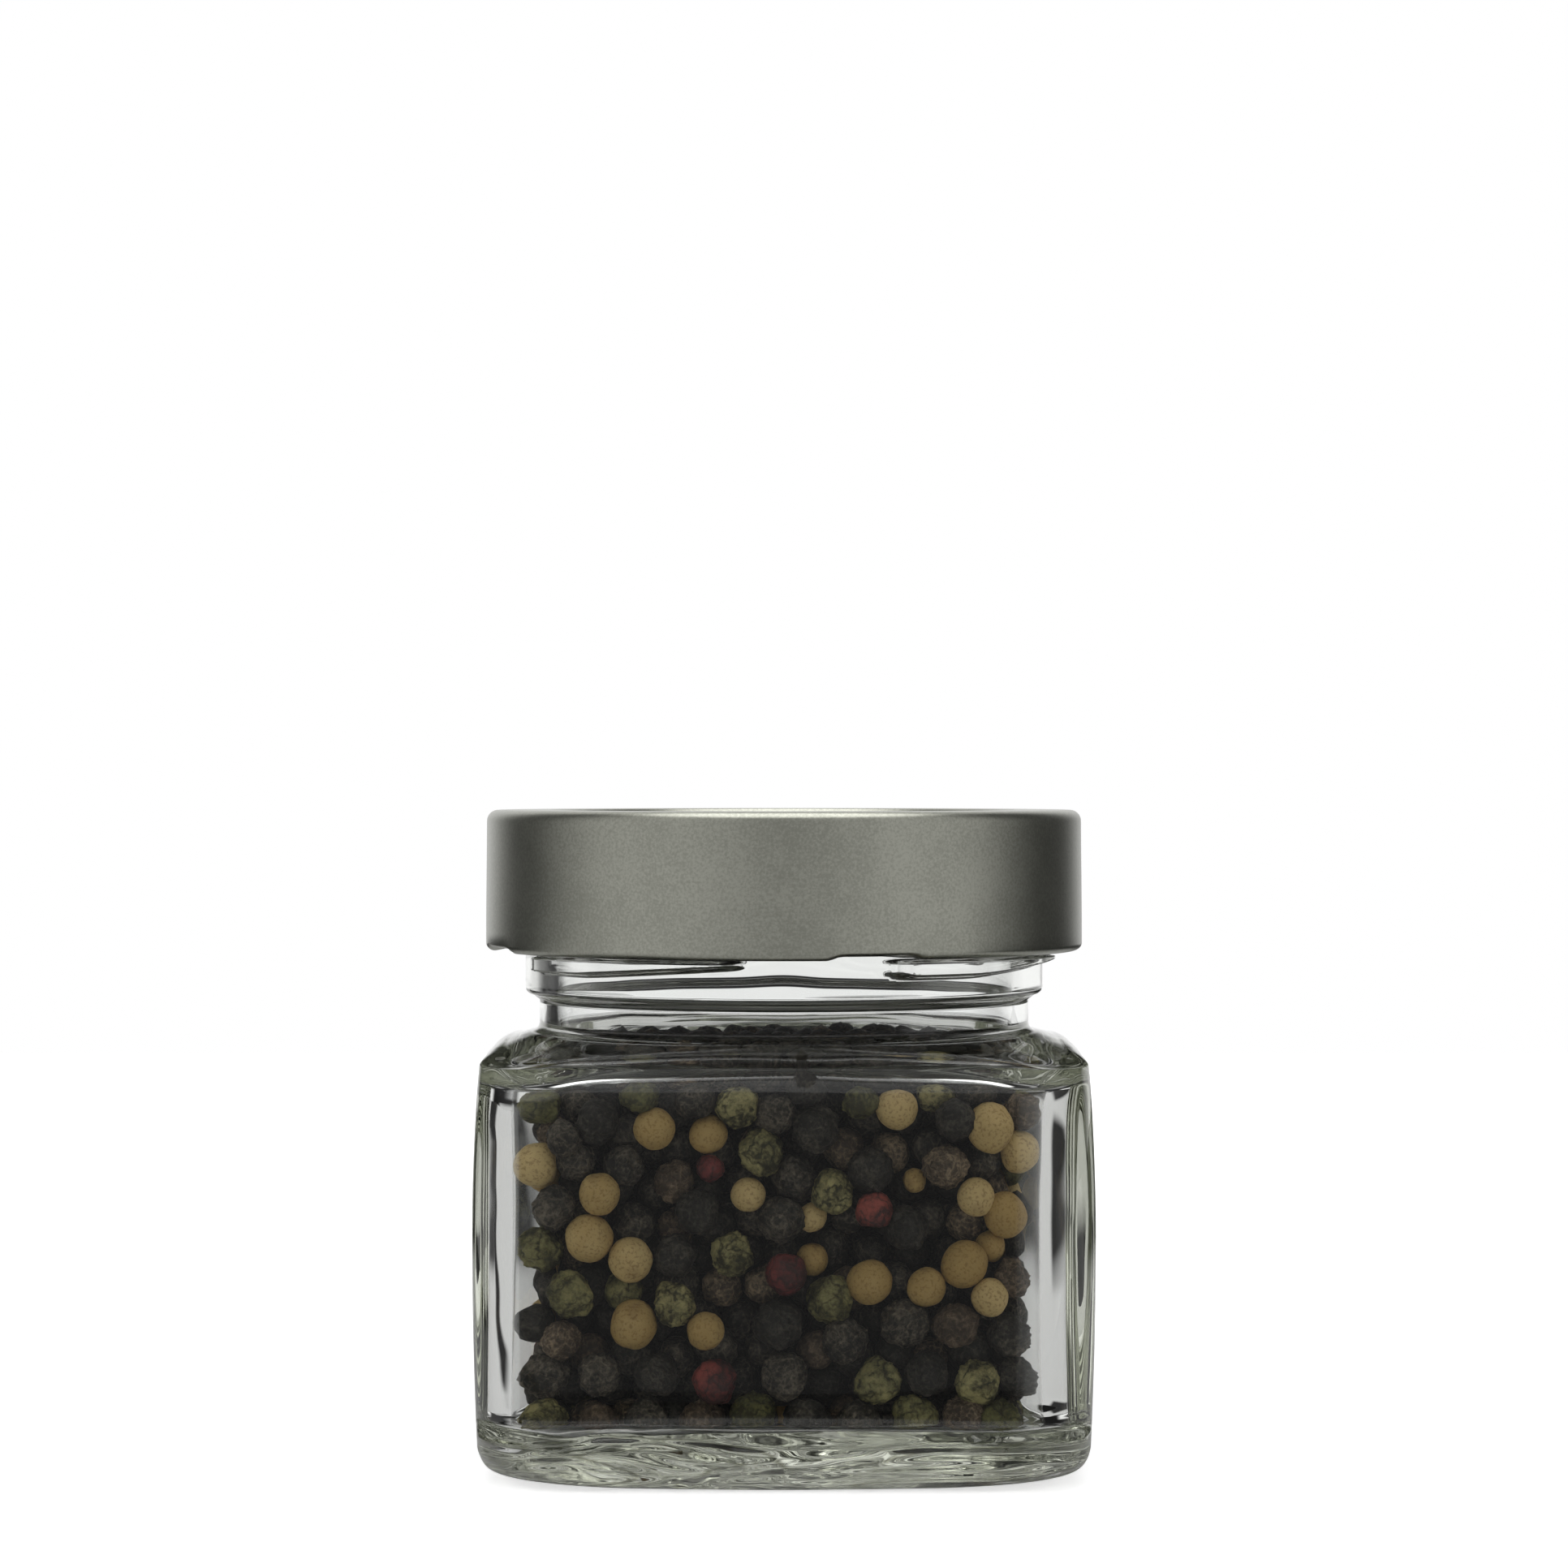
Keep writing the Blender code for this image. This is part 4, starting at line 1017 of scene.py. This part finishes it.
# %% [markdown]
# ## Studio
#
# The photograph is a plain catalogue shot: white paper below and behind, large soft lights at both
# sides in front, and dark space between them and the backdrop, which draws the two dark bands down
# the lid. The camera itself sees plain white paper. The Light Path node tells the other rays apart.
# Through the glass the paper has dark sides and a dark edge, and a strip of light hangs over the
# backdrop: they draw the streaks in the walls. The satin lid sees a simpler pattern of the same
# lights. A heading is an angle from straight behind the jar, and a bearing is how far a heading
# lies from the middle of the studio, which is turned a little to the right. Both are in degrees,
# lengths are in metres, and a height in the sky is the sine of its angle.

# %% Which ray, and which way
studio_turn = 12.0
backdrop_turn = -5.0
ray_outputs = {"camera": 0, "glossy": 3, "singular": 4, "reflection": 5}


def ray(start, kind):
    """1 for rays of this kind and 0 for all others, from the Light Path node."""
    return start.node("ShaderNodeLightPath", output=ray_outputs[kind])


def satin_ray(start):
    """1 for rays off satin surfaces, above all the lid: glossy, but not perfectly sharp."""
    return ray(start, "glossy") * (1 - ray(start, "singular"))


def directions(east, north):
    """Heading, bearing, and how far the heading lies from the backdrop's middle."""
    heading = east.maths("ARCTAN2", north) * (180 / math.pi)
    return heading, abs(heading - studio_turn), abs(heading - backdrop_turn)


print("studio turned by", studio_turn, "degrees, backdrop by", backdrop_turn)

# %% The floor
edge_at = np.array([[-0.70, -0.09], [0.70, -0.09], [0.70, 0.70], [-0.70, 0.70]])
corners = np.concatenate([edge_at, np.full((4, 1), -0.02 * MM)], axis=1)
paper_mesh = bpy.data.meshes.new("paper_floor")
paper_mesh.from_pydata(corners.tolist(), [], [(0, 1, 2, 3)])
paper_floor = bpy.data.objects.new("paper_floor", paper_mesh)
bpy.context.scene.collection.objects.link(paper_floor)
paper = bpy.data.materials.new("white_paper")
start = empty_graph(paper)
seen_directly = ray(start, "camera")
on_satin = satin_ray(start)
east, north, _ = start.object_place().parts()
_, bearing, off_backdrop = directions(east, north)
away = (east * east + north * north).maths("SQRT")
dark_sides = off_backdrop.step(17.0, 23.0) * (1 - bearing.step(60.0, 68.0)) * away.step(0.19, 0.25)
off_edge = abs(east + north * 0.33 + 0.150)
paper_edge = (1 - off_edge.step(0.008, 0.026)) * north.step(-0.01, 0.02)
beside_lid = on_satin * bearing.band(28.0, 40.0, 80.0, 104.0) * away.step(0.10, 0.20)
in_front = bearing.step(100.0, 115.0) * (1 - north.step(-0.045, -0.036)) * (1 - on_satin)
dark = dark_sides.greatest(paper_edge, beside_lid, in_front) * (1 - seen_directly)
lit_paper = seen_directly.mixed((0.61, 0.61, 0.61, 1), (0.80, 0.80, 0.80, 1))
shade = dark.mixed(lit_paper, (0.03, 0.03, 0.03, 1))
matt = start.node("ShaderNodeBsdfDiffuse", {}, {"Color": shade})
glowing = {"Color": (1, 1, 1, 1), "Strength": seen_directly * 0.55}
glow = start.node("ShaderNodeEmission", {}, glowing)
both = start.node("ShaderNodeAddShader", {}, {0: matt, 1: glow})
start.node("ShaderNodeOutputMaterial", {}, {"Surface": both})
paper_mesh.materials.append(paper)
print("paper corners:", edge_at.tolist())

# %% The surroundings
world = bpy.data.worlds.new("soft_studio")
bpy.context.scene.world = world
start = empty_graph(world)
east, north, above = start.node("ShaderNodeTexCoord", output=0).parts()
heading, bearing, off_backdrop = directions(east, north)
in_glass = ray(start, "glossy") * ray(start, "singular")
bounced = ray(start, "reflection")

backdrop = (1 - bearing.step(33.0, 48.0)) * (1 - above.step(0.06, 0.16)) * 0.96
table = bearing.band(63.0, 71.0, 100.0, 115.0) * (1 - above.step(-0.05, -0.02)) * 0.56
window_light = 2.2 - in_glass * (bounced * above.step(0.15, 0.35) * 0.7 + 1.5)
windows = bearing.step(74.0, 104.0) * above.band(0.03, 0.10, 0.62, 0.78) * window_light
strip_light = 0.8 - in_glass * 0.5
strip = (1 - bearing.step(50.0, 70.0)) * above.band(0.38, 0.46, 0.54, 0.62) * strip_light
overhead = above.step(0.80, 0.93) * (1.6 + in_glass * (0.5 - bounced * 1.9))
room = in_glass * (bearing.step(90.0, 130.0) * 0.10 - 0.03) + 0.04
level = backdrop.greatest(table, windows, overhead, strip) + room

from_behind = abs(heading)
paper_behind = (1 - off_backdrop.step(18.0, 52.0)) * 0.95
soft_boxes = from_behind.step(66.0, 112.0) * (1 - from_behind.step(130.0, 180.0) * 0.38) * 0.70
soft_top = above.step(0.82, 0.93) * 3.2
on_metal = paper_behind.greatest(soft_boxes, soft_top) + 0.08

strength = ray(start, "camera").blend(satin_ray(start).blend(level, on_metal), 1.0)
sky = start.node("ShaderNodeBackground", {}, {"Color": (1, 1, 1, 1), "Strength": strength})
start.node("ShaderNodeOutputWorld", {}, {"Surface": sky})
print("world:", world.name)

# %% [markdown]
# ## Camera
#
# The outlines of the lid and the body fit a camera 480 mm away, 77.5 mm above the floor and level.
# Light bounces many times between the two sides of a thick wall, so it may bounce 24 times.

# %% The camera
sensor = 36.0
eye = bpy.data.cameras.new("front_camera")
eye.sensor_width = eye.sensor_height = sensor
eye.lens = focal_pixels / image_size * sensor
eye.clip_start = 0.01
camera = bpy.data.objects.new("front_camera", eye)
camera.location = (0, -camera_distance, camera_height)
camera.rotation_euler = (math.pi / 2, 0, 0)
bpy.context.scene.collection.objects.link(camera)
bpy.context.scene.camera = camera
bpy.context.scene.view_settings.view_transform = "Standard"
light_paths = bpy.context.scene.cycles
light_paths.max_bounces = light_paths.glossy_bounces = light_paths.transmission_bounces = 24
print(f"lens {eye.lens:.2f} mm")
